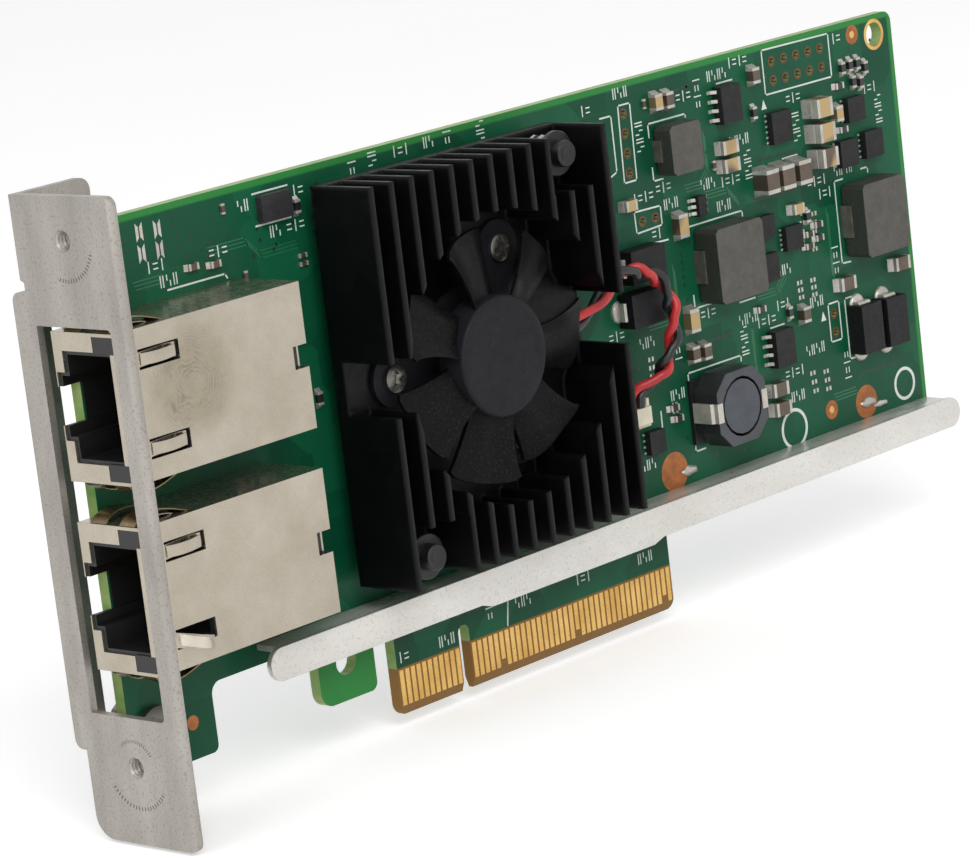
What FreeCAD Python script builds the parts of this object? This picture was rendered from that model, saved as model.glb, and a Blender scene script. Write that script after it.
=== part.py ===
import FreeCAD, Part
import math
import os

# Low-profile network interface card for a server slot: circuit board with an eight-lane
# edge connector, two shielded network jacks behind a steel bracket, and a finned heatsink
# with a recessed fan.
#
# Frame, in millimetres: the origin is the datum of the edge connector, where the centre of
# its key crosses the lower edge of the contact tongue at half the board's thickness.
# X runs along the card, away from the bracket. Z runs up. Components face -Y.

V = FreeCAD.Vector

# ---------------------------------------------------------------- flat sides of round forms
HUB_SIDES = 28
ROUND_SIDES = 20
SMALL_SIDES = 12
HOLE_SIDES = 8

# ---------------------------------------------------------------- board
BOARD_THICK = 1.57
BOARD_LEFT = -55.9
BOARD_RIGHT = 95.65
BOARD_TOP = 68.95
BOARD_EDGE = 12.7
BOARD_CORNER = 1.5
TAB_BOTTOM = 4.5
FOOT_RIGHT = -42.5
HOOK_LEFT = -25.2
HOOK_RIGHT = -15.7
HOOK_HOLE_RADIUS = 1.7
CORNER_HOLE_RADIUS = 1.6
CORNER_HOLE_INSET_X = 3.9
CORNER_HOLE_INSET_Z = 2.7

# ---------------------------------------------------------------- edge connector
PIN_PITCH = 1.0
PIN_WIDTH = 0.7
PINS_BEFORE_KEY = 11
PINS_AFTER_KEY = 38
KEY_TO_PIN = 1.5
KEY_WIDTH = 1.9
KEY_TOP = 8.25
TONGUE_LEFT = -12.15
TONGUE_RIGHT = 39.15
TONGUE_CORNER = 1.0
BEVEL_HEIGHT = 1.2
BEVEL_DEPTH = 0.45
PAD_TOP = 5.65
PAD_SHORT_BOTTOM = 2.15
PAD_THICK = 0.04
SHORT_PADS = (17, 31, 48)

# ---------------------------------------------------------------- bracket
SHEET = 1.0
BRACKET_FACE = -59.35
BRACKET_TOP = 73.75
BRACKET_BOTTOM = -1.35
BRACKET_FRONT = -13.72
BRACKET_BACK = 4.7
BRACKET_STEP_BACK = 2.9
BRACKET_UPPER_STEP = 63.0
BRACKET_LOWER_STEP = 9.1
BRACKET_EDGE_ROUND = 0.9
SIDE_FLANGE_DEPTH = 4.3
EAR_DEPTH = 11.2
EAR_RADIUS = 4.0
EAR_BEND_GAP = 0.6
EAR_CORNER = 1.5
UPPER_EAR_REACH = 66.0
LOWER_EAR_REACH = 6.0
FACE_HOLE_RADIUS = 1.25
FACE_HOLE_Y = -5.2
FACE_HOLE_INSET = 5.1
FACE_HOLE_LOW_RISE = 9.15
COLLAR_RADIUS = 2.1
COLLAR_HEIGHT = 1.2
WINDOW_GAP = 0.1
WINDOW_ABOVE = 0.6
WINDOW_BELOW = 5.15
WINDOW_REAR = 1.2
WINDOW_CORNER = 0.6

# ---------------------------------------------------------------- bracket screws
BRACKET_SCREW_RADIUS = 1.45
BRACKET_SCREW_HEAD = 3.0
BRACKET_SCREW_HEAD_HEIGHT = 1.7
BRACKET_SCREW_TIP = 1.2
SCREW_CLEARANCE = 0.1
UPPER_SCREW = (-51.0, 62.6)
LOWER_SCREW = (-52.0, 9.8)

# ---------------------------------------------------------------- network jacks
JACK_FRONT = -58.9
JACK_BACK = -30.0
JACK_WIDTH = 17.3
JACK_PITCH = 22.05
JACK_1_Z = 49.6
JACK_HEIGHT = 10.2
SHELL = 0.3
NOSE_DROP = 0.3
NOSE_GAP = 0.1
PORT_WIDTH = 12.0
PORT_FLOOR = -9.9
PORT_ROOF = -2.4
PORT_DEPTH = 14.5
PORT_LIP = 0.45
LATCH_WIDTH = 7.0
LATCH_STEP = 1.3
LATCH_SLOT_WIDTH = 4.5
LAMP_SIZE_Y = 3.5
LAMP_SIZE_Z = 1.95
LAMP_LENGTH = 7.0
LAMP_INSET = 0.05
SLOT_START = 3.15
SLOT_LENGTH = 6.2
SLOT_WIDTH = 2.3
SLOT_FROM_SIDE = 2.4
SLOT_POCKET = 1.5
TAB_GAP = 0.3
TAB_DIP = 0.7
BENT_ROOT = 0.5
BENT_RISE = 0.85
BENT_SWING = 17.0
REAR_NOTCH = 2.7
REAR_NOTCH_LENGTH = 2.2
REAR_NOTCH_DEPTH = 1.5
CONTACT_PITCH = 1.02
CONTACT_WIDTH = 0.4
CONTACTS = 8
SPRING_WIDTH = 5.0
SPRING_FRONT = 1.3
SPRING_LENGTH = 5.5
SPRING_RISE = 0.45
SPRING_SHEET = 0.15
LEG_SIZE = 0.5
LEG_STUB = 1.0
LEG_ROWS = (4.0, 6.54)
LEG_PITCH = 2.54
SHIELD_TAB_LENGTH = 1.6
SHIELD_TAB_PLACE = 12.0

# ---------------------------------------------------------------- heatsink
SINK_CENTRE = (2.1, 42.6)
SINK_BACK = -3.1
SINK_BASE = 1.8
SINK_FRONT = -12.8
SINK_HEIGHT = 48.6
FIN_PITCH = 3.41
FIN_COUNT = 13
FIN_THICK = 0.75
FAN_WELL = 17.9
SIDE_GAP = 6.5
PIN_INSET_X = 5.53
PIN_INSET_Z = 2.8
PIN_CLEAR_X = 9.6
PIN_CLEAR_Z = 7.0
CHIP_SIZE = 25.0
CHIP_THICK = 1.25
DIE_SIZE = 17.0
DIE_THICK = 0.75

# ---------------------------------------------------------------- push pins
PUSH_CAP_RADIUS = 1.65
PUSH_CAP_FACE = -11.1
PUSH_SKIRT_RADIUS = 2.8
PUSH_SKIRT = 0.7
PUSH_HEAD = 2.2
PUSH_STEM_RADIUS = 1.25
PUSH_TIP_RADIUS = 1.75
PUSH_TIP_LENGTH = 2.6
SPRING_COIL_RADIUS = 2.0
SPRING_WIRE = 0.45
SPRING_TURNS = 3

# ---------------------------------------------------------------- fan
FAN_CENTRE = (2.4, 42.2)
FAN_BLADES = 7
FAN_RADIUS = 15.6
FAN_FACE = -11.2
FAN_BACK = -7.05
HUB_BACK = -7.3
HUB_RADIUS = 7.45
HUB_WALL = 0.9
BLADE_FRONT = 0.35
BLADE_WIDTH = 7.3
BLADE_THICK = 0.7
BLADE_TAPER = 0.68
BLADE_REACH = 1.0
BLADE_CURVE = ((1.0, 0.0), (0.35, 0.26), (-0.35, 0.6), (-1.0, 1.0))
BLADE_PHASE = -4.0
SHAFT_RADIUS = 0.75
BEARING_CLEARANCE = 0.04
BEARING_RADIUS = 1.6
HOUSING_WALL = 0.8
FAN_PLATE = 0.6
FAN_PLATE_RADIUS = 8.6
FAN_CIRCUIT_THICK = 0.5
FAN_EAR_CIRCLE = 13.6
FAN_EAR_RADIUS = 3.5
FAN_EAR_ANGLES = (60.0, 180.0, 300.0)
FAN_SCREW_HEAD = 1.75
FAN_SCREW_HEAD_HEIGHT = 0.8
FAN_SCREW_RADIUS = 0.95
MAGNET_WALL = 0.6
ARMATURE_GAP = 0.35
ARMATURE_POLES = 4

# ---------------------------------------------------------------- fan lead
WIRE_RADIUS = 0.6
WIRE_SIDES = 6
PLUG_X = (32.4, 36.2)
PLUG_Z = (25.6, 27.8)
PLUG_HEIGHT = 2.5
SOCKET_WALL = 0.5
SOCKET_HEIGHT = 1.7
SOCKET_MOUTH = 0.9
PLUG_CLEARANCE = 0.05
RED_ROUTE = (
    (8.05, -6.15, 42.0),
    (16.5, -6.1, 41.2),
    (26.0, -5.6, 44.3),
    (34.2, -5.2, 47.4),
    (40.7, -5.0, 44.3),
    (41.4, -4.7, 36.6),
    (38.9, -3.9, 31.6),
    (35.2, -2.3, 30.0),
    (35.2, -2.3, 27.8),
)
BLACK_ROUTE = (
    (8.05, -6.15, 40.7),
    (16.5, -6.1, 39.8),
    (26.4, -5.6, 42.8),
    (34.1, -5.2, 45.7),
    (39.3, -5.0, 43.0),
    (39.9, -4.7, 36.9),
    (37.2, -3.9, 32.8),
    (33.9, -2.3, 31.0),
    (33.9, -2.3, 27.8),
)

# ---------------------------------------------------------------- stiffener bar
BAR_SHEET = 0.8
BAR_TOP = 15.3
BAR_FRONT = -5.1
BAR_FLANGE_BOTTOM = 11.2
BAR_LIP_BOTTOM = 10.6
BAR_LEFT = -36.6
BAR_RIGHT = 97.3
BAR_LIP_LEFT = 1.5
BAR_LIP_RIGHT = 32.0
BAR_END_ROUND = 3.2
BAR_PRONGS = (42.8, 83.3)
BAR_PRONG_RISE = 1.1
BAR_PRONG_WIDTH = 3.6

# ---------------------------------------------------------------- through-hole headers
HEADER_PITCH = 2.54
HEADER_HOLE_RADIUS = 0.5
HEADER_HOLE_SIDES = 6
HEADERS = (
    ("ten way", 69.85, 66.35, 5, 2),
    ("four way", 39.75, 64.85, 1, 4),
    ("two way", 41.2, 50.65, 2, 1),
    ("jumper", 77.55, 30.8, 1, 2),
)

# ---------------------------------------------------------------- board parts
# Package: length, width, height and length of each end terminal.
CHIP_CASES = {
    "0603": (1.6, 0.8, 0.6, 0.35),
    "0805": (2.1, 1.4, 1.2, 0.4),
    "1206": (3.1, 1.8, 1.3, 0.5),
    "1210": (3.2, 2.5, 2.5, 0.55),
}
# Centre X, centre Z, package, and whether its length runs up the board.
CERAMIC_CAPACITORS = (
    (77.0, 58.95, "1210", False),
    (77.1, 55.6, "1210", False),
    (77.2, 52.2, "1210", False),
    (64.9, 51.3, "1210", True),
    (68.2, 51.3, "1210", True),
    (71.7, 51.3, "1210", True),
    (58.55, 57.1, "1206", False),
    (58.5, 54.7, "1206", False),
    (63.6, 23.6, "1206", False),
    (63.8, 20.95, "1206", False),
    (79.8, 34.5, "1206", False),
    (91.8, 34.8, "1206", False),
    (47.7, 48.8, "1206", True),
    (47.9, 36.3, "1206", True),
    (45.6, 65.3, "0805", True),
    (47.8, 65.2, "0805", True),
    (47.6, 31.9, "0805", True),
    (49.9, 31.75, "0805", True),
    (38.3, 53.3, "0805", False),
    (71.2, 46.4, "0805", False),
    (81.6, 57.3, "0805", True),
    (65.2, 65.3, "0805", True),
    (70.6, 32.2, "0805", True),
    (-36.9, 61.0, "0603", False),
    (-33.4, 60.6, "0603", False),
    (-29.4, 38.9, "0603", False),
    (-33.0, 38.6, "0603", False),
)
CHIP_RESISTORS = (
    (84.0, 63.0, "0603", True),
    (85.6, 63.1, "0603", True),
    (87.2, 63.1, "0603", True),
    (88.8, 62.3, "0603", True),
    (86.0, 60.8, "0603", True),
    (87.6, 60.5, "0603", True),
    (82.9, 60.8, "0603", False),
    (73.6, 44.9, "0603", True),
    (75.6, 43.4, "0603", False),
    (73.6, 42.5, "0603", False),
    (75.6, 41.6, "0603", False),
    (73.4, 40.9, "0603", False),
    (64.9, 60.4, "0603", True),
    (62.2, 34.7, "0603", False),
    (68.0, 33.0, "0603", True),
    (82.9, 54.9, "0603", False),
    (43.0, 25.8, "0603", False),
    (43.6, 24.3, "0603", False),
    (-19.6, 41.5, "0603", True),
    (-19.3, 64.6, "0603", True),
)
# Left, right, lower and upper edge, and height, of each leadless package.
LEADLESS_CHIPS = (
    (67.6, 71.6, 55.6, 59.8, 1.0),
    (83.5, 87.1, 55.6, 58.9, 1.1),
    (86.5, 90.3, 50.2, 53.8, 1.1),
    (81.1, 84.7, 49.9, 53.5, 1.1),
    (68.2, 71.7, 41.2, 44.4, 0.9),
    (63.2, 66.1, 43.8, 46.8, 1.0),
    (63.2, 66.1, 38.0, 41.7, 1.0),
    (37.0, 40.0, 20.9, 23.9, 1.0),
)
# Left, right, lower and upper edge, height, and leads along each side.
LEADED_CHIPS = (
    (57.3, 61.2, 60.2, 65.1, 1.6, 4),
    (63.1, 67.0, 26.5, 31.4, 1.6, 4),
    (51.2, 52.8, 49.3, 51.9, 1.1, 3),
)
LEAD_LENGTH = 1.1
LEAD_WIDTH = 0.45
LEAD_THICK = 0.2
CRYSTAL = (-25.5, -20.5, 63.8, 67.0, 1.0)
# Left, right, lower and upper edge, and height, of each moulded inductor.
MOULDED_INDUCTORS = (
    (44.7, 51.2, 55.8, 62.2, 3.0),
    (50.3, 60.2, 37.85, 47.7, 4.0),
    (81.0, 90.6, 37.7, 47.6, 4.0),
)
INDUCTOR_CORNER = 0.5
CRYSTAL_CORNER = 0.25
INDUCTOR_STRAP = 0.25
DRUM_CENTRE = (51.6, 24.3)
DRUM_SIZE = 9.7
DRUM_CORNER = 2.2
DRUM_HEIGHT = 4.5
DRUM_CORE_RADIUS = 3.6
DRUM_BASE = 0.6
DRUM_LIP = 0.8
TANTALUM_LENGTH = 7.3
TANTALUM_WIDTH = 4.3
TANTALUM_HEIGHT = 2.6
TANTALUM_STRAP = 0.35
# Centre X, centre Z, and whether the length runs up the board.
TANTALUMS = (
    (82.4, 27.9, True),
    (87.9, 27.75, True),
    (38.7, 45.7, False),
    (38.0, 40.2, False),
)

# ---------------------------------------------------------------- worked-out places
FRONT = -BOARD_THICK / 2
BACK = BOARD_THICK / 2
BRACKET_INSIDE = BRACKET_FACE + SHEET
EAR_INSIDE = BRACKET_STEP_BACK - SHEET
JACK_2_Z = JACK_1_Z - JACK_PITCH
JACK_TOP = FRONT - JACK_HEIGHT
SINK_FLOOR = SINK_BACK - SINK_BASE
SINK_WIDTH = FIN_PITCH * (FIN_COUNT - 1) + FIN_THICK
FAN_PLATE_FACE = SINK_FLOOR - FAN_PLATE
CHIP_FACE = FRONT - CHIP_THICK - DIE_THICK
PIN_AWAY_X = SINK_WIDTH / 2 - PIN_INSET_X
PIN_AWAY_Z = SINK_HEIGHT / 2 - PIN_INSET_Z
PUSH_PINS = (
    (SINK_CENTRE[0] + PIN_AWAY_X, SINK_CENTRE[1] + PIN_AWAY_Z),
    (SINK_CENTRE[0] - PIN_AWAY_X, SINK_CENTRE[1] - PIN_AWAY_Z),
)


def block(x0, x1, y0, y1, z0, z1):
    """Box between two opposite corners."""
    return Part.makeBox(x1 - x0, y1 - y0, z1 - z0, V(x0, y0, z0))


def rod(x, z, radius, y0, y1):
    """Cylinder through the board's thickness, along Y."""
    return Part.makeCylinder(radius, y1 - y0, V(x, y0, z), V(0, 1, 0))


def ring(x, z, inner, outer, y0, y1):
    """Tube along Y."""
    return rod(x, z, outer, y0, y1).cut(rod(x, z, inner, y0, y1))


def corner_arc(before, corner, after, radius):
    """Arc of the given radius tangent to both sides of a corner."""
    towards_before = (before - corner).normalize()
    towards_after = (after - corner).normalize()
    half = towards_before.getAngle(towards_after) / 2
    setback = radius / math.tan(half)
    bisector = (towards_before + towards_after).normalize()
    centre = corner + bisector * (radius / math.sin(half))
    start = corner + towards_before * setback
    end = corner + towards_after * setback
    return Part.Arc(start, centre - bisector * radius, end)


def rounded_wire(corners, place):
    """Closed wire through (a, b, radius) corners, placed in space by place(a, b)."""
    points = [place(a, b) for a, b, _ in corners]
    count = len(corners)
    edges = []
    starts = []
    ends = []
    arcs = []
    for i, (_, _, radius) in enumerate(corners):
        if radius > 0:
            arc = corner_arc(points[i - 1], points[i], points[(i + 1) % count], radius)
            arcs.append(arc.toShape())
            starts.append(arc.StartPoint)
            ends.append(arc.EndPoint)
        else:
            arcs.append(None)
            starts.append(points[i])
            ends.append(points[i])
    for i in range(count):
        if arcs[i]:
            edges.append(arcs[i])
        following = starts[(i + 1) % count]
        if ends[i].distanceToPoint(following) > 1e-6:
            edges.append(Part.LineSegment(ends[i], following).toShape())
    return Part.Wire(edges)


def plate_xz(corners, y0, y1):
    """Plate parallel to the board, from y0 to y1."""
    wire = rounded_wire(corners, lambda x, z: V(x, y0, z))
    return Part.Face(wire).extrude(V(0, y1 - y0, 0))


def bevelled(x0, x1, z0, z1, cut):
    """Outline of a rectangle with its four corners cut off."""
    return (
        (x0, z0 + cut, 0),
        (x0, z1 - cut, 0),
        (x0 + cut, z1, 0),
        (x1 - cut, z1, 0),
        (x1, z1 - cut, 0),
        (x1, z0 + cut, 0),
        (x1 - cut, z0, 0),
        (x0 + cut, z0, 0),
    )


def plate_yz(corners, x0, x1):
    """Plate parallel to the bracket, from x0 to x1."""
    wire = rounded_wire(corners, lambda y, z: V(x0, y, z))
    return Part.Face(wire).extrude(V(x1 - x0, 0, 0))


def prism_z(points, z0, z1):
    """Straight-sided profile in X and Y, raised from z0 to z1."""
    corners = [V(x, y, z0) for x, y in points]
    return Part.Face(Part.makePolygon(corners + corners[:1])).extrude(V(0, 0, z1 - z0))


def ring_points(x, y, z, radius, sides):
    """Corners of a regular outline about an axis along Y."""
    points = []
    for step in range(sides):
        angle = 2 * math.pi * (step + 0.5) / sides
        points.append(V(x + radius * math.cos(angle), y, z + radius * math.sin(angle)))
    return points


def faceted_rod(x, z, radius, y0, y1, sides):
    """Rod along Y with flat sides, its corners on the radius."""
    points = ring_points(x, y0, z, radius, sides)
    return Part.Face(Part.makePolygon(points + points[:1])).extrude(V(0, y1 - y0, 0))


def drilled(x, z, radius, y0, y1):
    """Small hole, drawn with flat sides that just clear the radius."""
    return faceted_rod(x, z, radius / math.cos(math.pi / HOLE_SIDES), y0, y1, HOLE_SIDES)


def faceted_ring(x, z, inner, outer, y0, y1):
    """Tube along Y with flat sides."""
    hole = faceted_rod(x, z, inner, y0, y1, ROUND_SIDES)
    return faceted_rod(x, z, outer, y0, y1, ROUND_SIDES).cut(hole)


def faceted_turn(profile, x, z, sides):
    """Turned shape drawn with flat sides, from (radius, y) points in order."""
    faces = []
    for (radius_a, y_a), (radius_b, y_b) in zip(profile, profile[1:] + profile[:1]):
        if radius_a == radius_b == 0:
            continue
        if 0 in (radius_a, radius_b) and y_a == y_b:
            rim = ring_points(x, y_a, z, max(radius_a, radius_b), sides)
            faces.append(Part.Face(Part.makePolygon(rim + rim[:1])))
            continue
        first = ring_points(x, y_a, z, radius_a, sides)
        second = ring_points(x, y_b, z, radius_b, sides)
        for i in range(sides):
            j = (i + 1) % sides
            corners = [first[i], first[j], second[j], second[i], first[i]]
            faces.append(Part.Face(Part.makePolygon(corners)))
    solid = Part.makeSolid(Part.makeShell(faces))
    if solid.Volume < 0:
        solid.reverse()
    return solid.removeSplitter()


def joined(shapes):
    """One solid from pieces that overlap."""
    first = shapes[0]
    return first.fuse(shapes[1:]).removeSplitter() if len(shapes) > 1 else first


def without(shape, tools):
    """Shape with every tool cut away."""
    return shape.cut(tools) if tools else shape


def group(shapes):
    """Separate solids kept together in one node."""
    return Part.makeCompound(shapes)


# ================================================================ board
def contact_x(number):
    """Centre of a contact, counted from the bracket's end of the tongue."""
    if number <= PINS_BEFORE_KEY:
        return -KEY_TO_PIN - (PINS_BEFORE_KEY - number) * PIN_PITCH
    return KEY_TO_PIN + (number - PINS_BEFORE_KEY - 1) * PIN_PITCH


def header_holes():
    """Centre of every through hole for an unfitted header."""
    centres = []
    for _, x, z, columns, rows in HEADERS:
        for column in range(columns):
            for row in range(rows):
                centres.append((x + column * HEADER_PITCH, z - row * HEADER_PITCH))
    return centres


def make_board():
    half_key = KEY_WIDTH / 2
    outline = (
        (BOARD_LEFT, BOARD_TOP, BOARD_CORNER / 3),
        (BOARD_RIGHT, BOARD_TOP, BOARD_CORNER),
        (BOARD_RIGHT, BOARD_EDGE, BOARD_CORNER),
        (TONGUE_RIGHT, BOARD_EDGE, TONGUE_CORNER),
        (TONGUE_RIGHT, 0, TONGUE_CORNER),
        (half_key, 0, 0),
        (half_key, KEY_TOP, half_key * 0.95),
        (-half_key, KEY_TOP, half_key * 0.95),
        (-half_key, 0, 0),
        (TONGUE_LEFT, 0, TONGUE_CORNER),
        (TONGUE_LEFT, BOARD_EDGE, TONGUE_CORNER),
        (HOOK_RIGHT, BOARD_EDGE, TONGUE_CORNER),
        (HOOK_RIGHT, TAB_BOTTOM, BOARD_CORNER * 0.7),
        (HOOK_LEFT, TAB_BOTTOM, BOARD_CORNER * 1.3),
        (HOOK_LEFT, BOARD_EDGE, TONGUE_CORNER),
        (FOOT_RIGHT, BOARD_EDGE, BOARD_CORNER),
        (FOOT_RIGHT, TAB_BOTTOM, BOARD_CORNER * 0.6),
        (BOARD_LEFT, TAB_BOTTOM, BOARD_CORNER * 0.6),
    )
    board = plate_xz(outline, FRONT, BACK)
    bevels = []
    for side in (-1, 1):
        face = side * BACK
        wedge = [
            V(TONGUE_LEFT, face, 0),
            V(TONGUE_LEFT, face, BEVEL_HEIGHT),
            V(TONGUE_LEFT, face - side * BEVEL_DEPTH, 0),
        ]
        triangle = Part.Face(Part.makePolygon(wedge + wedge[:1]))
        bevels.append(triangle.extrude(V(TONGUE_RIGHT - TONGUE_LEFT, 0, 0)))
    holes = [faceted_rod(x, z, HEADER_HOLE_RADIUS, FRONT, BACK, HEADER_HOLE_SIDES)
             for x, z in header_holes()]
    corner_x = BOARD_RIGHT - CORNER_HOLE_INSET_X
    corner_z = BOARD_TOP - CORNER_HOLE_INSET_Z
    holes.append(rod(corner_x, corner_z, CORNER_HOLE_RADIUS, FRONT, BACK))
    hook_x = (HOOK_LEFT + HOOK_RIGHT) / 2
    hook_z = BOARD_EDGE - HOOK_HOLE_RADIUS * 2
    holes.append(rod(hook_x, hook_z, HOOK_HOLE_RADIUS, FRONT, BACK))
    screw_hole = BRACKET_SCREW_RADIUS + SCREW_CLEARANCE
    for x, z in (UPPER_SCREW, LOWER_SCREW):
        holes.append(drilled(x, z, screw_hole, FRONT, BACK))
    for x, z in PUSH_PINS:
        holes.append(drilled(x, z, PUSH_STEM_RADIUS + SCREW_CLEARANCE, FRONT, BACK))
    for centre_z in (JACK_1_Z, JACK_2_Z):
        holes += jack_legs(centre_z, FRONT, BACK)
    return without(board, bevels + holes)


def make_edge_contacts():
    pads = []
    for side in (-1, 1):
        face = side * BACK
        y0 = min(face, face + side * PAD_THICK)
        for number in range(1, PINS_BEFORE_KEY + PINS_AFTER_KEY + 1):
            x = contact_x(number)
            short = side < 0 and number in SHORT_PADS
            short = short or (side > 0 and number == 1)
            bottom = PAD_SHORT_BOTTOM if short else BEVEL_HEIGHT
            half = PIN_WIDTH / 2
            pads.append(block(x - half, x + half, y0, y0 + PAD_THICK, bottom, PAD_TOP))
    return group(pads)


# ================================================================ bracket
def window():
    """Lower, upper, front and back edge of the opening for both jacks."""
    low = JACK_2_Z - JACK_WIDTH / 2 - WINDOW_BELOW
    high = JACK_1_Z + JACK_WIDTH / 2 + WINDOW_ABOVE
    return low, high, JACK_TOP - WINDOW_GAP, WINDOW_REAR


def bracket_ear(screw, from_z, to_z, reach_z):
    """Sheet ear behind the board, with a drawn and threaded collar for one screw."""
    x, z = screw
    bend = BRACKET_FACE
    tip = BRACKET_FACE + EAR_DEPTH
    inner = BRACKET_INSIDE + SIDE_FLANGE_DEPTH + EAR_BEND_GAP - SHEET
    upright = (
        (bend, from_z, 0),
        (bend, to_z, 0),
        (tip, to_z, EAR_CORNER),
        (tip, from_z, EAR_CORNER),
    )
    reach = (
        (inner, min(z, reach_z), 0),
        (inner, max(z, reach_z), 0),
        (tip, max(z, reach_z), 0),
        (tip, min(z, reach_z), 0),
    )
    ear = plate_xz(upright, EAR_INSIDE, BRACKET_STEP_BACK)
    foot = plate_xz(reach, EAR_INSIDE, BRACKET_STEP_BACK)
    disc = faceted_rod(x, z, EAR_RADIUS, EAR_INSIDE, BRACKET_STEP_BACK, ROUND_SIDES)
    collar = faceted_rod(x, z, COLLAR_RADIUS + 0.3, BACK, EAR_INSIDE, ROUND_SIDES)
    hole = drilled(x, z, BRACKET_SCREW_RADIUS + SCREW_CLEARANCE, BACK, BRACKET_STEP_BACK)
    return joined([ear, foot, disc, collar]).cut(hole)


def face_holes():
    """Places of the two threaded holes in the bracket's face, as (y, z)."""
    upper = BRACKET_TOP - FACE_HOLE_INSET
    lower = BRACKET_BOTTOM + FACE_HOLE_LOW_RISE
    return (FACE_HOLE_Y, upper), (FACE_HOLE_Y, lower)


def make_bracket():
    back = BRACKET_BACK
    step = BRACKET_STEP_BACK
    outline = (
        (BRACKET_FRONT, BRACKET_BOTTOM, 1.2),
        (BRACKET_FRONT, BRACKET_TOP, 1.2),
        (step, BRACKET_TOP, 0),
        (step, BRACKET_UPPER_STEP + 1.0, 0),
        (step - 0.6, BRACKET_UPPER_STEP + 0.7, 0),
        (step - 0.6, BRACKET_UPPER_STEP - 0.4, 0),
        (back, BRACKET_UPPER_STEP - 0.4, 1.2),
        (back, BRACKET_LOWER_STEP, 1.2),
        (step, BRACKET_LOWER_STEP, 0),
        (step, BRACKET_BOTTOM, 2.8),
    )
    face = plate_yz(outline, BRACKET_FACE, BRACKET_INSIDE)
    edge_round = plate_round(BRACKET_FRONT, BRACKET_BOTTOM, BRACKET_TOP)
    low, high, front, rear = window()
    opening = (
        (front, low, WINDOW_CORNER),
        (front, high, WINDOW_CORNER),
        (rear, high, 0),
        (rear, low, 0),
    )
    face = face.cut([edge_round, plate_yz(opening, BRACKET_FACE, BRACKET_INSIDE)])
    flange_low = BRACKET_LOWER_STEP + 1.2
    flange_high = BRACKET_UPPER_STEP - 1.6
    flange_end = BRACKET_FACE + SIDE_FLANGE_DEPTH
    flange = block(BRACKET_FACE, flange_end, back - SHEET, back, flange_low, flange_high)
    bend_cut = plate_bend(back, flange_low, flange_high)
    upper_ear = bracket_ear(UPPER_SCREW, BRACKET_UPPER_STEP + 1.0, BRACKET_TOP,
                            UPPER_EAR_REACH)
    lower_ear = bracket_ear(LOWER_SCREW, BRACKET_BOTTOM + 3.0, BRACKET_LOWER_STEP - 0.8,
                            LOWER_EAR_REACH)
    parts = [face, flange.cut(bend_cut), upper_ear, lower_ear]
    collars = []
    holes = []
    for y, z in face_holes():
        end = V(BRACKET_FACE, y, z)
        along = V(1, 0, 0)
        collars.append(Part.makeCylinder(COLLAR_RADIUS, SHEET + COLLAR_HEIGHT, end, along))
        holes.append(Part.makeCylinder(FACE_HOLE_RADIUS, SHEET + COLLAR_HEIGHT, end, along))
    return joined(parts + collars).cut(holes)


def plate_round(y, z0, z1):
    """What a rounded outer edge removes from the bracket's front edge."""
    radius = BRACKET_EDGE_ROUND
    square = block(BRACKET_FACE, BRACKET_FACE + radius, y, y + radius, z0, z1)
    centre = V(BRACKET_FACE + radius, y + radius, z0)
    return square.cut(Part.makeCylinder(radius, z1 - z0, centre))


def plate_bend(y, z0, z1):
    """What the outside of the bend removes from the bracket's rear edge."""
    radius = SHEET
    square = block(BRACKET_FACE, BRACKET_FACE + radius, y - radius, y, z0, z1)
    centre = V(BRACKET_FACE + radius, y - radius, z0)
    return square.cut(Part.makeCylinder(radius, z1 - z0, centre))


def make_bracket_screws():
    screws = []
    tip = BRACKET_STEP_BACK + BRACKET_SCREW_TIP
    for x, z in (UPPER_SCREW, LOWER_SCREW):
        profile = (
            (0, tip),
            (BRACKET_SCREW_RADIUS, tip),
            (BRACKET_SCREW_RADIUS, FRONT),
            (BRACKET_SCREW_HEAD, FRONT),
            (BRACKET_SCREW_HEAD, FRONT - BRACKET_SCREW_HEAD_HEIGHT / 2),
            (BRACKET_SCREW_HEAD * 0.7, FRONT - BRACKET_SCREW_HEAD_HEIGHT),
            (0, FRONT - BRACKET_SCREW_HEAD_HEIGHT),
        )
        screws.append(faceted_turn(profile, x, z, SMALL_SIDES))
    return group(screws)


# ================================================================ network jacks
def jack_legs(centre_z, y0, y1):
    """Square signal pins in two staggered rows, and a shield tab at each side."""
    half = LEG_SIZE / 2
    legs = []
    for row, inset in enumerate(LEG_ROWS):
        x = JACK_BACK - inset
        for column in range(4):
            z = centre_z + (column - 1.5 + 0.25 * (2 * row - 1)) * LEG_PITCH
            legs.append(block(x - half, x + half, y0, y1, z - half, z + half))
    x = JACK_FRONT + SHIELD_TAB_PLACE
    for side in (-1, 1):
        z = centre_z + side * (JACK_WIDTH / 2 - half)
        legs.append(block(x, x + SHIELD_TAB_LENGTH, y0, y1, z - half, z + half))
    return legs


def port_cavity(centre_z, x0, x1, grow, roof):
    """Room for a plug, stepped for its latch and open there towards the board."""
    half = PORT_WIDTH / 2 + grow
    latch = LATCH_WIDTH / 2 + grow
    slot = LATCH_SLOT_WIDTH / 2
    near = PORT_ROOF + grow
    step = near + LATCH_STEP
    outline = (
        (PORT_FLOOR, centre_z - half, 0),
        (PORT_FLOOR, centre_z + half, 0),
        (near, centre_z + half, 0),
        (near, centre_z + latch, 0),
        (step, centre_z + latch, 0),
        (step, centre_z + slot, 0),
        (roof, centre_z + slot, 0),
        (roof, centre_z - slot, 0),
        (step, centre_z - slot, 0),
        (step, centre_z - latch, 0),
        (near, centre_z - latch, 0),
        (near, centre_z - half, 0),
    )
    return plate_yz(outline, x0, x1)


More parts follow.
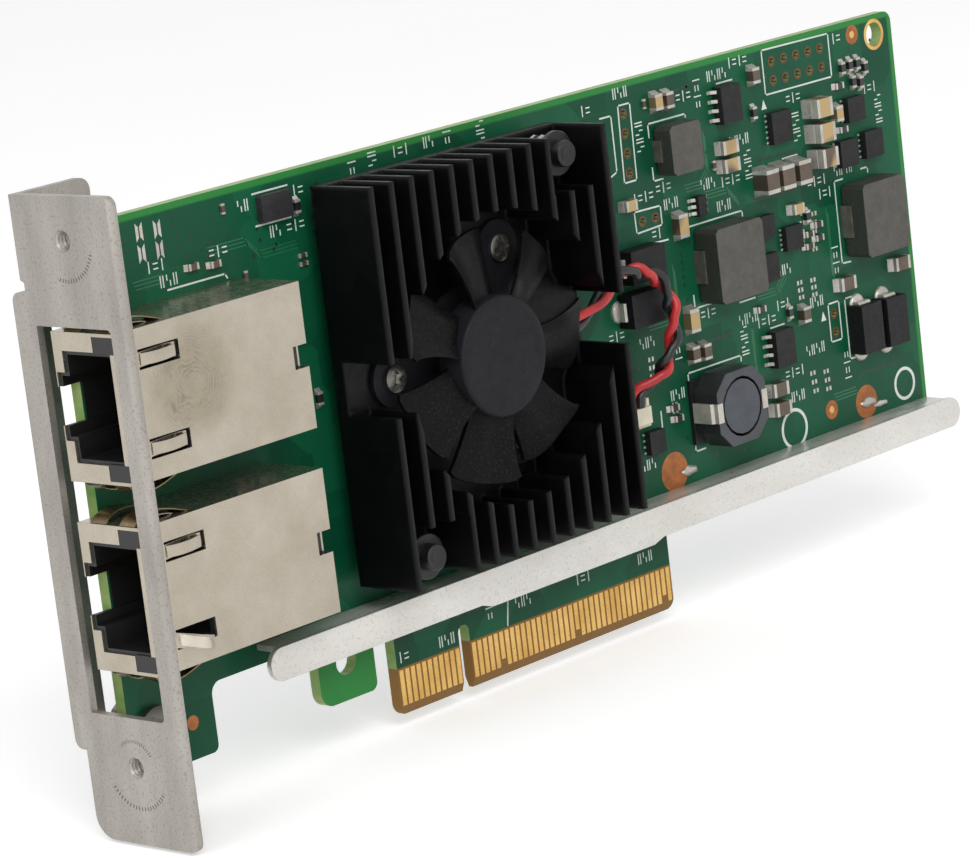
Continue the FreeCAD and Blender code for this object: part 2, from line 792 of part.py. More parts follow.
def lamp_blocks(centre_z, x0, x1):
    """The two light guides in the jack's outer front corners."""
    outer = JACK_WIDTH / 2 - SHELL - NOSE_GAP
    y0 = JACK_TOP + SHELL + LAMP_INSET
    lamps = []
    for side in (-1, 1):
        z_far = centre_z + side * outer
        low = min(z_far, z_far - side * LAMP_SIZE_Z)
        lamps.append(block(x0, x1, y0, y0 + LAMP_SIZE_Y, low, low + LAMP_SIZE_Z))
    return lamps


def slot_span(centre_z, side):
    """Lower and upper edge of the spring tab's slot on one side of the shell."""
    edge = centre_z + side * (JACK_WIDTH / 2 - SLOT_FROM_SIDE)
    low = min(edge, edge - side * SLOT_WIDTH)
    return low, low + SLOT_WIDTH


def spring_tab(centre_z, side):
    """Tab left in the slot, hinged at the front and dipping to press on a plug."""
    low, high = slot_span(centre_z, side)
    x0 = JACK_FRONT + SLOT_START
    end = x0 + SLOT_LENGTH - TAB_GAP
    profile = (
        (x0, JACK_TOP),
        (end - 1.3, JACK_TOP + TAB_DIP),
        (end, JACK_TOP + TAB_DIP * 0.5),
        (end, JACK_TOP + TAB_DIP * 0.5 + SHELL),
        (end - 1.3, JACK_TOP + TAB_DIP + SHELL),
        (x0, JACK_TOP + SHELL),
    )
    return prism_z(profile, low + TAB_GAP, high - TAB_GAP)


def raised_tab(centre_z, side):
    """The same tab where it has been pulled out: bowed off the shell and swung down."""
    low, high = slot_span(centre_z, side)
    x0 = JACK_FRONT + SLOT_START
    rise = ((-BENT_ROOT, 0), (1.2, 0.25), (2.8, BENT_RISE), (4.3, BENT_RISE * 0.8), (5.6, 0.2))
    outside = [(x0 + along, JACK_TOP - up) for along, up in rise]
    inside = [(x, y + SHELL) for x, y in outside]
    tab = prism_z(outside + inside[::-1], low + TAB_GAP, high - TAB_GAP)
    tab.rotate(V(x0, JACK_TOP, (low + high) / 2), V(0, 1, 0), BENT_SWING)
    return tab


def side_spring(centre_z, side):
    """Contact spring along the shell's side, bowed out towards the bracket."""
    z = centre_z + side * JACK_WIDTH / 2
    y0 = (JACK_TOP + PORT_ROOF - SPRING_WIDTH) / 2
    x0 = JACK_FRONT + SPRING_FRONT
    x1 = x0 + SPRING_LENGTH
    middle = (x0 + x1) / 2
    crown = z + side * SPRING_RISE
    under = side * SPRING_SHEET
    edges = [
        Part.Arc(V(x0, y0, z), V(middle, y0, crown), V(x1, y0, z)).toShape(),
        Part.LineSegment(V(x1, y0, z), V(x1, y0, z - under)).toShape(),
        Part.Arc(V(x1, y0, z - under), V(middle, y0, crown - under),
                 V(x0, y0, z - under)).toShape(),
        Part.LineSegment(V(x0, y0, z - under), V(x0, y0, z)).toShape(),
    ]
    return Part.Face(Part.Wire(edges)).extrude(V(0, SPRING_WIDTH, 0))


def make_shell(centre_z, bent):
    """Folded metal shield of one jack; bent lists the sides whose tab stands up."""
    half = JACK_WIDTH / 2
    low = centre_z - half
    high = centre_z + half
    front = JACK_FRONT + SHELL
    nose = BOARD_LEFT - NOSE_GAP
    roof = FRONT + NOSE_DROP
    outer = block(JACK_FRONT, JACK_BACK, JACK_TOP, FRONT, low, high)
    outer = outer.fuse(block(JACK_FRONT, nose, FRONT, roof, low, high))
    hollow = block(front, JACK_BACK - SHELL, JACK_TOP + SHELL, roof,
                   low + SHELL, high - SHELL)
    cuts = [hollow, port_cavity(centre_z, JACK_FRONT, front, PORT_LIP, roof)]
    cuts += lamp_blocks(centre_z, JACK_FRONT, front)
    notch = REAR_NOTCH / 2
    cuts.append(block(JACK_BACK - REAR_NOTCH_LENGTH, JACK_BACK, JACK_TOP,
                      JACK_TOP + REAR_NOTCH_DEPTH, centre_z - notch, centre_z + notch))
    x0 = JACK_FRONT + SLOT_START
    tabs = []
    for side in (-1, 1):
        z0, z1 = slot_span(centre_z, side)
        cuts.append(block(x0, x0 + SLOT_LENGTH, JACK_TOP, JACK_TOP + SHELL, z0, z1))
        tabs.append(raised_tab(centre_z, side) if side in bent else spring_tab(centre_z, side))
        tabs.append(side_spring(centre_z, side))
    return joined([outer.cut(cuts)] + tabs)


def make_insert(centre_z):
    """Moulded housing inside the shield, with the plug's cavity."""
    half = JACK_WIDTH / 2 - SHELL
    front = JACK_FRONT + SHELL
    back = JACK_BACK - SHELL
    nose = BOARD_LEFT - NOSE_GAP
    roof = FRONT + NOSE_DROP
    top = JACK_TOP + SHELL
    body = block(front, back, top, FRONT, centre_z - half, centre_z + half)
    body = body.fuse(block(front, nose, FRONT, roof, centre_z - half, centre_z + half))
    cuts = [port_cavity(centre_z, front, front + PORT_DEPTH, 0, roof)]
    cuts += lamp_blocks(centre_z, front, front + LAMP_LENGTH)
    x0 = JACK_FRONT + SLOT_START
    for side in (-1, 1):
        z0, z1 = slot_span(centre_z, side)
        cuts.append(block(x0, x0 + SLOT_LENGTH, top, JACK_TOP + SLOT_POCKET, z0, z1))
    notch = REAR_NOTCH / 2
    cuts.append(block(JACK_BACK - REAR_NOTCH_LENGTH, JACK_BACK, top,
                      JACK_TOP + REAR_NOTCH_DEPTH, centre_z - notch, centre_z + notch))
    return joined([body]).cut(cuts)


def make_contacts(centre_z):
    """Eight spring wires over the far wall of the plug's cavity."""
    springs = []
    root = JACK_FRONT + SHELL + PORT_DEPTH
    start = JACK_FRONT + SHELL + 3.0
    thick = 0.4
    rise = 1.4
    profile = (
        (start, PORT_FLOOR),
        (start + 1.0, PORT_FLOOR),
        (root - 0.5, PORT_FLOOR + rise),
        (root, PORT_FLOOR + rise),
        (root, PORT_FLOOR + rise + thick),
        (root - 0.6, PORT_FLOOR + rise + thick),
        (start + 1.0, PORT_FLOOR + thick),
        (start, PORT_FLOOR + thick),
    )
    first = -(CONTACTS - 1) * CONTACT_PITCH / 2
    for index in range(CONTACTS):
        z = centre_z + first + index * CONTACT_PITCH
        springs.append(prism_z(profile, z - CONTACT_WIDTH / 2, z + CONTACT_WIDTH / 2))
    return group(springs)


def make_lamps(centre_z):
    front = JACK_FRONT + LAMP_INSET
    return group(lamp_blocks(centre_z, front, JACK_FRONT + SHELL + LAMP_LENGTH))


def make_legs(centre_z):
    return group(jack_legs(centre_z, FRONT, BACK + LEG_STUB))


# ================================================================ heatsink
def make_heatsink():
    """Plate-fin heatsink with a round well for the fan and two cleared corners."""
    cx, cz = SINK_CENTRE
    left = cx - SINK_WIDTH / 2
    low = cz - SINK_HEIGHT / 2
    high = cz + SINK_HEIGHT / 2
    base = block(left, left + SINK_WIDTH, SINK_FLOOR, SINK_BACK, low, high)
    fins = []
    for index in range(FIN_COUNT):
        x = left + index * FIN_PITCH
        fins.append(block(x, x + FIN_THICK, SINK_FRONT, SINK_FLOOR, low, high))
    inner_left = left + FIN_THICK
    inner_right = left + SINK_WIDTH - FIN_THICK
    half_gap = SIDE_GAP / 2
    cuts = [
        faceted_rod(*FAN_CENTRE, FAN_WELL, SINK_FRONT, SINK_FLOOR, HUB_SIDES),
        block(left, left + SINK_WIDTH, SINK_FRONT, SINK_FLOOR, cz - half_gap, cz + half_gap),
        block(inner_left, inner_left + PIN_CLEAR_X, SINK_FRONT, SINK_FLOOR,
              low, low + PIN_CLEAR_Z),
        block(inner_right - PIN_CLEAR_X, inner_right, SINK_FRONT, SINK_FLOOR,
              high - PIN_CLEAR_Z, high),
    ]
    for x, z in PUSH_PINS:
        cuts.append(drilled(x, z, PUSH_STEM_RADIUS + SCREW_CLEARANCE, SINK_FLOOR, SINK_BACK))
    for angle in FAN_EAR_ANGLES:
        x, z = on_circle(FAN_EAR_CIRCLE, angle)
        cuts.append(drilled(x, z, FAN_SCREW_RADIUS, SINK_FLOOR, SINK_BACK))
    return joined([base] + fins).cut(cuts)


def make_controller():
    cx, cz = SINK_CENTRE
    half = CHIP_SIZE / 2
    die = DIE_SIZE / 2
    middle = FRONT - CHIP_THICK
    package = block(cx - half, cx + half, middle, FRONT, cz - half, cz + half)
    lid = block(cx - die, cx + die, CHIP_FACE, middle, cz - die, cz + die)
    return joined([package, lid])


def make_thermal_pad():
    cx, cz = SINK_CENTRE
    half = DIE_SIZE / 2
    return block(cx - half, cx + half, SINK_BACK, CHIP_FACE, cz - half, cz + half)


def make_push_pins():
    pins = []
    skirt_back = PUSH_CAP_FACE + PUSH_HEAD
    tip = BACK + PUSH_TIP_LENGTH
    for x, z in PUSH_PINS:
        profile = (
            (0, PUSH_CAP_FACE),
            (PUSH_CAP_RADIUS, PUSH_CAP_FACE),
            (PUSH_CAP_RADIUS, skirt_back - PUSH_SKIRT),
            (PUSH_SKIRT_RADIUS, skirt_back - PUSH_SKIRT),
            (PUSH_SKIRT_RADIUS, skirt_back),
            (PUSH_STEM_RADIUS, skirt_back),
            (PUSH_STEM_RADIUS, BACK),
            (PUSH_TIP_RADIUS, BACK),
            (PUSH_STEM_RADIUS * 0.5, tip),
            (0, tip),
        )
        pins.append(faceted_turn(profile, x, z, SMALL_SIDES))
    return group(pins)


def make_push_springs():
    """Open coil springs between each push pin's skirt and the heatsink's base."""
    springs = []
    half = SPRING_WIRE / 2
    front = PUSH_CAP_FACE + PUSH_HEAD + half
    back = SINK_FLOOR - half
    sides = 8
    count = SPRING_TURNS * sides
    for x, z in PUSH_PINS:
        path = []
        for step in range(count + 1):
            angle = 2 * math.pi * step / sides
            y = front + (back - front) * step / count
            path.append(V(x + SPRING_COIL_RADIUS * math.cos(angle), y,
                          z + SPRING_COIL_RADIUS * math.sin(angle)))
        start = path[0]
        section = [start + V(dx, dy, 0) for dx, dy in
                   ((-half, -half), (half, -half), (half, half), (-half, half))]
        wire = Part.makePolygon(section + section[:1])
        springs.append(Part.makePolygon(path).makePipeShell([wire], True, False, 1))
    return group(springs)


# ================================================================ fan
def on_circle(radius, degrees):
    """Point on a circle about the fan's axis, as (x, z)."""
    angle = math.radians(degrees)
    return FAN_CENTRE[0] + radius * math.cos(angle), FAN_CENTRE[1] + radius * math.sin(angle)


def make_fan_base():
    """Carrier plate with three screw ears and the tube that holds the bearing."""
    cx, cz = FAN_CENTRE
    parts = [faceted_rod(cx, cz, FAN_PLATE_RADIUS, FAN_PLATE_FACE, SINK_FLOOR, ROUND_SIDES)]
    holes = []
    for angle in FAN_EAR_ANGLES:
        x, z = on_circle(FAN_EAR_CIRCLE, angle)
        parts.append(faceted_rod(x, z, FAN_EAR_RADIUS, FAN_PLATE_FACE, SINK_FLOOR,
                                 ROUND_SIDES))
        half = FAN_EAR_RADIUS * math.cos(math.pi / ROUND_SIDES)
        arm = block(cx, cx + FAN_EAR_CIRCLE, FAN_PLATE_FACE, SINK_FLOOR, cz - half, cz + half)
        arm.rotate(V(cx, 0, cz), V(0, 1, 0), -angle)
        parts.append(arm)
        hole = FAN_SCREW_RADIUS + SCREW_CLEARANCE
        holes.append(drilled(x, z, hole, FAN_PLATE_FACE, SINK_FLOOR))
    tube = BEARING_RADIUS + HOUSING_WALL
    parts.append(faceted_rod(cx, cz, tube, FAN_FACE + HUB_WALL + 0.6, SINK_FLOOR, ROUND_SIDES))
    holes.append(rod(cx, cz, BEARING_RADIUS, FAN_FACE, FAN_PLATE_FACE))
    return joined(parts).cut(holes)


def make_fan_bearing():
    cx, cz = FAN_CENTRE
    bore = SHAFT_RADIUS + BEARING_CLEARANCE
    return ring(cx, cz, bore, BEARING_RADIUS, FAN_FACE + HUB_WALL + 0.6, FAN_PLATE_FACE)


def make_fan_screws():
    screws = []
    for angle in FAN_EAR_ANGLES:
        x, z = on_circle(FAN_EAR_CIRCLE, angle)
        top = FAN_PLATE_FACE - FAN_SCREW_HEAD_HEIGHT
        profile = (
            (0, top),
            (FAN_SCREW_HEAD, top),
            (FAN_SCREW_HEAD, FAN_PLATE_FACE),
            (FAN_SCREW_RADIUS, FAN_PLATE_FACE),
            (FAN_SCREW_RADIUS, SINK_BACK - SCREW_CLEARANCE),
            (0, SINK_BACK - SCREW_CLEARANCE),
        )
        screws.append(faceted_turn(profile, x, z, SMALL_SIDES))
    return group(screws)


def armature_radius():
    return HUB_RADIUS - HUB_WALL - MAGNET_WALL - ARMATURE_GAP


def make_armature():
    """Four-pole core pressed on the bearing tube, and the coils wound on its arms."""
    cx, cz = FAN_CENTRE
    inner = BEARING_RADIUS + HOUSING_WALL
    outer = armature_radius()
    y0 = FAN_FACE + HUB_WALL + 0.9
    y1 = y0 + 1.6
    core = [faceted_ring(cx, cz, inner, inner + 0.6, y0, y1)]
    coils = []
    rim = faceted_ring(cx, cz, outer - 0.5, outer, y0, y1)
    for index in range(ARMATURE_POLES):
        angle = index * 360.0 / ARMATURE_POLES + 45
        arm = block(cx + inner + 0.2, cx + outer - 0.3, y0, y1, cz - 0.5, cz + 0.5)
        shoe = rim.common(block(cx, cx + outer, y0, y1, cz - 2.4, cz + 2.4))
        coil = block(cx + inner + 0.8, cx + outer - 0.7, y0 - 0.35, y1 + 0.35,
                     cz - 1.2, cz + 1.2)
        coil = coil.cut(block(cx, cx + outer, y0, y1, cz - 0.5, cz + 0.5))
        for piece in (arm, shoe, coil):
            piece.rotate(V(cx, 0, cz), V(0, 1, 0), angle)
        core += [arm, shoe]
        coils.append(coil)
    return joined(core), group(coils)


def make_fan_circuit():
    """Eight-sided drive circuit on the carrier plate, round the bearing tube."""
    cx, cz = FAN_CENTRE
    tube = BEARING_RADIUS + HOUSING_WALL
    level = FAN_PLATE_FACE - FAN_CIRCUIT_THICK
    plate = faceted_rod(cx, cz, armature_radius() + 0.4, level, FAN_PLATE_FACE, HOLE_SIDES)
    return plate.cut(faceted_rod(cx, cz, tube, level, FAN_PLATE_FACE, ROUND_SIDES))


def blade_section(radius, scale):
    """Corners of a blade's faceted section at one radius, scaled about its front edge."""
    front = FAN_FACE + BLADE_FRONT
    depth = FAN_BACK - front - BLADE_THICK
    face = []
    back = []
    for along, down in BLADE_CURVE:
        z = along * BLADE_WIDTH / 2 * scale
        y = front + down * depth * scale
        face.append(V(radius, y, z))
        back.append(V(radius, y + BLADE_THICK * scale, z))
    return face + back[::-1]


def make_blade(inner, outer):
    """Blade whose flat facets run from a small section to a large one."""
    root = blade_section(inner, BLADE_TAPER)
    tip = blade_section(outer, 1.0)
    count = len(root)
    ends = [Part.Face(Part.makePolygon(ring + ring[:1])) for ring in (root, tip)]
    sides = []
    for i in range(count):
        j = (i + 1) % count
        corners = [root[i], root[j], tip[j], tip[i], root[i]]
        sides.append(Part.Face(Part.makePolygon(corners)))
    return Part.makeSolid(Part.makeShell(ends + sides))


def make_fan_rotor():
    """Hub cup with seven curved blades, moulded in one."""
    cx, cz = FAN_CENTRE
    inner = HUB_RADIUS - HUB_WALL
    back = HUB_BACK
    boss = SHAFT_RADIUS + 0.7
    bore = SHAFT_RADIUS / math.cos(math.pi / HUB_SIDES)
    profile = (
        (bore, FAN_FACE + 0.4),
        (0, FAN_FACE + 0.4),
        (0, FAN_FACE),
        (HUB_RADIUS - 0.5, FAN_FACE),
        (HUB_RADIUS, FAN_FACE + 0.5),
        (HUB_RADIUS, back),
        (inner, back),
        (inner, FAN_FACE + HUB_WALL),
        (boss, FAN_FACE + HUB_WALL),
        (boss, FAN_FACE + HUB_WALL + 0.3),
        (bore, FAN_FACE + HUB_WALL + 0.3),
    )
    hub = faceted_turn(profile, cx, cz, HUB_SIDES)
    root = inner + HUB_WALL / 3
    reach = ring(0, 0, root, FAN_RADIUS, FAN_FACE - BLADE_REACH, FAN_BACK + BLADE_REACH)
    blade = make_blade(inner, FAN_RADIUS + 1.0).common(reach)
    blades = []
    for index in range(FAN_BLADES):
        copy = blade.copy()
        copy.rotate(V(0, 0, 0), V(0, 1, 0), -(BLADE_PHASE + index * 360.0 / FAN_BLADES))
        copy.translate(V(cx, 0, cz))
        blades.append(copy)
    return joined([hub] + blades)


def make_fan_magnet():
    cx, cz = FAN_CENTRE
    outer = HUB_RADIUS - HUB_WALL
    inner = outer - MAGNET_WALL
    profile = (
        (outer, FAN_FACE + HUB_WALL),
        (outer, HUB_BACK),
        (inner, HUB_BACK),
        (inner, FAN_FACE + HUB_WALL),
    )
    return faceted_turn(profile, cx, cz, HUB_SIDES)


def make_fan_shaft():
    cx, cz = FAN_CENTRE
    return rod(cx, cz, SHAFT_RADIUS, FAN_FACE + 0.4, FAN_PLATE_FACE - 0.1)


# ================================================================ fan lead
def wire_along(points, radius, name):
    """Wire of six-sided section along straight runs joined by tangent arcs."""
    corners = [V(*point) for point in points]
    edges = []
    here = corners[0]
    for i in range(1, len(corners) - 1):
        before = corners[i] - corners[i - 1]
        after = corners[i + 1] - corners[i]
        turn = before.getAngle(after)
        reach = 0.45 * min(before.Length, after.Length)
        bend = reach / math.tan(turn / 2)
        print(name, i, "turn", round(math.degrees(turn), 1), "radius", round(bend, 2))
        arc = corner_arc(corners[i - 1], corners[i], corners[i + 1], bend)
        edges.append(Part.LineSegment(here, arc.StartPoint).toShape())
        edges.append(arc.toShape())
        here = arc.EndPoint
    edges.append(Part.LineSegment(here, corners[-1]).toShape())
    path = Part.Wire(edges)
    ahead = (corners[1] - corners[0]).normalize()
    level = ahead.cross(V(0, 0, 1)).normalize()
    rise = level.cross(ahead)
    outline = []
    for step in range(WIRE_SIDES):
        angle = math.radians((step + 0.5) * 360 / WIRE_SIDES)
        outline.append(corners[0] + level * (radius * math.cos(angle))
                       + rise * (radius * math.sin(angle)))
    section = Part.Face(Part.makePolygon(outline + outline[:1]))
    tube = path.makePipe(section)
    print(name, "length", round(path.Length, 2), "volume ratio",
          round(tube.Volume / (section.Area * path.Length), 4))
    return tube


def make_plug():
    x0, x1 = PLUG_X
    z0, z1 = PLUG_Z
    floor = FRONT - SOCKET_WALL
    return plate_xz((
        (x0, z0, 0),
        (x0, z1, 0),
        (x1, z1, 0),
        (x1, z0, 0),
    ), FRONT - PLUG_HEIGHT, floor)


def make_socket():
    """Open header that holds the plug, with its mouth towards the wires."""
    x0, x1 = PLUG_X
    z0, z1 = PLUG_Z
    top = FRONT - SOCKET_HEIGHT
    gap = PLUG_CLEARANCE
    body = block(x0 - SOCKET_WALL - gap, x1 + SOCKET_WALL + gap, top, FRONT,
                 z0 - SOCKET_WALL - gap, z1 + SOCKET_MOUTH)
    room = block(x0 - gap, x1 + gap, top, FRONT - SOCKET_WALL, z0 - gap, z1 + SOCKET_MOUTH)
    return body.cut(room)


# ================================================================ stiffener bar
def make_stiffener():
    """Folded bar along the board: a shelf off its face and a flange turned down."""
    inner = BAR_FRONT + BAR_SHEET
    shelf = block(BAR_LEFT + 2, BAR_RIGHT - 2.2, BAR_FRONT + BAR_SHEET, FRONT,
                  BAR_TOP - BAR_SHEET, BAR_TOP)
    flange = plate_xz((
        (BAR_LEFT, BAR_TOP, 0.6),
        (BAR_LEFT, BAR_FLANGE_BOTTOM, BAR_END_ROUND),
        (BAR_LIP_LEFT, BAR_FLANGE_BOTTOM, 0),
        (BAR_LIP_LEFT, BAR_LIP_BOTTOM, 0),
        (BAR_LIP_RIGHT, BAR_LIP_BOTTOM, 0),
        (BAR_LIP_RIGHT, BAR_FLANGE_BOTTOM, 0),
        (BAR_RIGHT, BAR_FLANGE_BOTTOM, BAR_END_ROUND),
        (BAR_RIGHT, BAR_TOP, 0.8),
    ), BAR_FRONT, inner)
    bend = Part.makeCylinder(BAR_SHEET, BAR_RIGHT - BAR_LEFT, V(BAR_LEFT, inner, BAR_TOP - BAR_SHEET),
                             V(1, 0, 0))
    square = block(BAR_LEFT, BAR_RIGHT, BAR_FRONT, inner, BAR_TOP - BAR_SHEET, BAR_TOP)
    flange = flange.cut(square.cut(bend))
    prongs = []
    for x in BAR_PRONGS:
        prongs.append(block(x, x + BAR_PRONG_WIDTH, FRONT - BAR_SHEET, FRONT,
                            BAR_TOP - BAR_SHEET, BAR_TOP + BAR_PRONG_RISE))
    return joined([shelf, flange] + prongs)


# ================================================================ board parts
def make_capacitors():
    """Bodies and end terminals of the ceramic chip capacitors."""
    bodies = []
    ends = []
    for x, z, case, upright in CERAMIC_CAPACITORS:
        length, width, height, end = CHIP_CASES[case]
        half = length / 2
        bodies.append(chip_piece(x, z, end - half, half - end, width, height, upright))
        ends.append(chip_piece(x, z, -half, end - half, width, height, upright))
        ends.append(chip_piece(x, z, half - end, half, width, height, upright))
    return group(bodies), group(ends)


def make_resistors():
    """Chip resistors, each in one with its plated ends."""
    pieces = []
    for x, z, case, upright in CHIP_RESISTORS:
        length, width, height, _ = CHIP_CASES[case]
        pieces.append(chip_piece(x, z, -length / 2, length / 2, width, height, upright))
    return group(pieces)


def chip_piece(x, z, start, end, width, height, upright):
    """Slice of a chip part between two places along its length."""
    half = width / 2
    if upright:
        return block(x - half, x + half, FRONT - height, FRONT, z + start, z + end)
    return block(x + start, x + end, FRONT - height, FRONT, z - half, z + half)


def make_leadless_chips():
    return group([block(x0, x1, FRONT - high, FRONT, z0, z1)
                  for x0, x1, z0, z1, high in LEADLESS_CHIPS])


def make_leaded_chips():
    """Bodies with a bevelled mould line, and their gull-wing leads."""
    bodies = []
    leads = []
    for x0, x1, z0, z1, high, count in LEADED_CHIPS:
        bodies.append(block(x0, x1, FRONT - high, FRONT - 0.12, z0, z1))
        step = (z1 - z0) / count
        for side in (-1, 1):
            edge = x0 if side < 0 else x1
            shoulder = FRONT - high * 0.55
            foot = edge + side * LEAD_LENGTH
            profile = (
                (edge, shoulder),
                (edge + side * 0.5, FRONT - LEAD_THICK),
                (foot, FRONT - LEAD_THICK),
                (foot, FRONT),
                (edge + side * 0.35, FRONT),
                (edge, shoulder + LEAD_THICK),
            )
            for index in range(count):
                z = z0 + step * (index + 0.5)
                leads.append(prism_z(profile, z - LEAD_WIDTH / 2, z + LEAD_WIDTH / 2))
    return group(bodies), group(leads)


def make_crystal():
    x0, x1, z0, z1, high = CRYSTAL
    return plate_xz(bevelled(x0, x1, z0, z1, CRYSTAL_CORNER), FRONT - high, FRONT)


def make_moulded_inductors():
    """Pressed-powder bodies with a flat strap folded under each end."""
    bodies = []
    straps = []
    for x0, x1, z0, z1, high in MOULDED_INDUCTORS:
        strap = INDUCTOR_STRAP
        corners = bevelled(x0 + strap, x1 - strap, z0, z1, INDUCTOR_CORNER)
        bodies.append(plate_xz(corners, FRONT - high, FRONT - strap))
        middle = (z0 + z1) / 2
        half = (z1 - z0) * 0.22
        rise = FRONT - high * 0.45
        for side in (-1, 1):
            edge = x0 if side < 0 else x1
            profile = (
                (edge, rise),
                (edge, FRONT),
                (edge - side * 2.0, FRONT),
                (edge - side * 2.0, FRONT - strap),
                (edge - side * strap, FRONT - strap),
                (edge - side * strap, rise),
            )
            straps.append(prism_z(profile, middle - half, middle + half))
    return group(bodies), group(straps)


def make_drum_inductor():
    """Eight-sided ferrite shield round a round core, on a clip with two side straps."""
    cx, cz = DRUM_CENTRE
    half = DRUM_SIZE / 2
    cut = DRUM_CORNER
    octagon = []
    for sx, sz in ((-1, -1), (1, -1), (1, 1), (-1, 1)):
        side_first = (cx + sx * half, cz + sz * (half - cut), 0)
        end_first = (cx + sx * (half - cut), cz + sz * half, 0)
        octagon += [side_first, end_first] if sx * sz > 0 else [end_first, side_first]
    top = FRONT - DRUM_HEIGHT
    foot = FRONT - DRUM_BASE
    shield = plate_xz(octagon, top, foot)
    bore = DRUM_CORE_RADIUS + 0.35
    shield = shield.cut(faceted_rod(cx, cz, bore, top, foot, ROUND_SIDES))
    core_profile = (
        (0, top),
        (DRUM_CORE_RADIUS, top),
        (DRUM_CORE_RADIUS, top + DRUM_LIP),
        (DRUM_CORE_RADIUS - 1.2, top + DRUM_LIP),
        (DRUM_CORE_RADIUS - 1.2, foot),
        (0, foot),
    )
    core = faceted_turn(core_profile, cx, cz, ROUND_SIDES)
    wrap = faceted_turn((
        (DRUM_CORE_RADIUS - 1.2, top + DRUM_LIP),
        (DRUM_CORE_RADIUS - 0.1, top + DRUM_LIP),
        (DRUM_CORE_RADIUS - 0.1, foot),
        (DRUM_CORE_RADIUS - 1.2, foot),
    ), cx, cz, ROUND_SIDES)
    base = block(cx - half - 0.5, cx + half + 0.5, foot, FRONT, cz - half + 0.6, cz + half - 0.6)
    straps = []
    for side in (-1, 1):
        edge = cx + side * half
        profile = (
            (edge, top + 0.4),
            (edge + side * 0.5, top + 0.9),
            (edge + side * 0.5, foot),
            (edge, foot),
        )
        straps.append(prism_z(profile, cz - 1.3, cz + 1.3))
    return shield, core, wrap, base, group(straps)


def make_tantalums():
    """Moulded bodies with a strap on each end."""
    bodies = []
    straps = []
    for x, z, upright in TANTALUMS:
        half = TANTALUM_LENGTH / 2
        strap = TANTALUM_STRAP
        body = block(-half + strap, half - strap, FRONT - TANTALUM_HEIGHT, FRONT - 0.1,
                     -TANTALUM_WIDTH / 2, TANTALUM_WIDTH / 2)
        pieces = [body]
        for side in (-1, 1):
            edge = side * half
            low = FRONT - TANTALUM_HEIGHT * 0.6
            profile = (
                (edge - side * strap, low),
                (edge, low + 0.2),
                (edge, FRONT),
                (edge - side * 1.2, FRONT),
                (edge - side * 1.2, FRONT - 0.1),
                (edge - side * strap, FRONT - 0.1),
            )
            pieces.append(prism_z(profile, -1.2, 1.2))
        for piece in pieces:
            if upright:
                piece.rotate(V(0, 0, 0), V(0, 1, 0), 90)
            piece.translate(V(x, 0, z))
        bodies.append(pieces[0])
        straps += pieces[1:]
    return group(bodies), group(straps)


def make_all():
    """Every node's name and shape."""
    armature, coils = make_armature()
    capacitors, capacitor_ends = make_capacitors()
    leaded, leads = make_leaded_chips()
    inductors, inductor_straps = make_moulded_inductors()
    shield, core, winding, drum_base, drum_straps = make_drum_inductor()
    tantalums, tantalum_straps = make_tantalums()
    nodes = {
        "circuit_board": make_board(),
        "edge_contacts": make_edge_contacts(),
        "bracket": make_bracket(),
        "bracket_screws": make_bracket_screws(),
        "heatsink": make_heatsink(),
        "controller_chip": make_controller(),
        "thermal_pad": make_thermal_pad(),
        "push_pins": make_push_pins(),
        "push_pin_springs": make_push_springs(),
        "fan_base": make_fan_base(),
        "fan_bearing": make_fan_bearing(),
        "fan_screws": make_fan_screws(),
        "fan_armature": armature,
        "fan_coils": coils,
        "fan_circuit": make_fan_circuit(),
        "fan_rotor": make_fan_rotor(),
        "fan_magnet": make_fan_magnet(),
        "fan_shaft": make_fan_shaft(),
        "fan_lead_red": wire_along(RED_ROUTE, WIRE_RADIUS, "red"),
        "fan_lead_black": wire_along(BLACK_ROUTE, WIRE_RADIUS, "black"),
        "fan_plug": make_plug(),
        "fan_socket": make_socket(),
        "stiffener_bar": make_stiffener(),
        "ceramic_capacitors": capacitors,
        "capacitor_ends": capacitor_ends,
        "chip_resistors": make_resistors(),
        "leadless_chips": make_leadless_chips(),
        "leaded_chips": leaded,
        "chip_leads": leads,
        "crystal": make_crystal(),
        "moulded_inductors": inductors,
        "inductor_straps": inductor_straps,
        "drum_shield": shield,
        "drum_core": core,
        "drum_winding": winding,
        "drum_base": drum_base,
        "drum_straps": drum_straps,
        "tantalum_capacitors": tantalums,
        "tantalum_straps": tantalum_straps,
    }
    for number, centre_z, bent in ((1, JACK_1_Z, ()), (2, JACK_2_Z, (-1,))):
        nodes["jack_%d_shell" % number] = make_shell(centre_z, bent)
        nodes["jack_%d_insert" % number] = make_insert(centre_z)
        nodes["jack_%d_contacts" % number] = make_contacts(centre_z)
        nodes["jack_%d_lamps" % number] = make_lamps(centre_z)
        nodes["jack_%d_legs" % number] = make_legs(centre_z)
    return nodes


os.makedirs("parts", exist_ok=True)
for node, shape in make_all().items():
    print(node, "solids", len(shape.Solids), "valid", shape.isValid(),
          "volume", round(shape.Volume, 3))
    shape.exportStep("parts/%s.step" % node)
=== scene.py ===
import random
from math import cos, pi, radians, sin

import bmesh
import bpy
from mathutils import Matrix, Vector


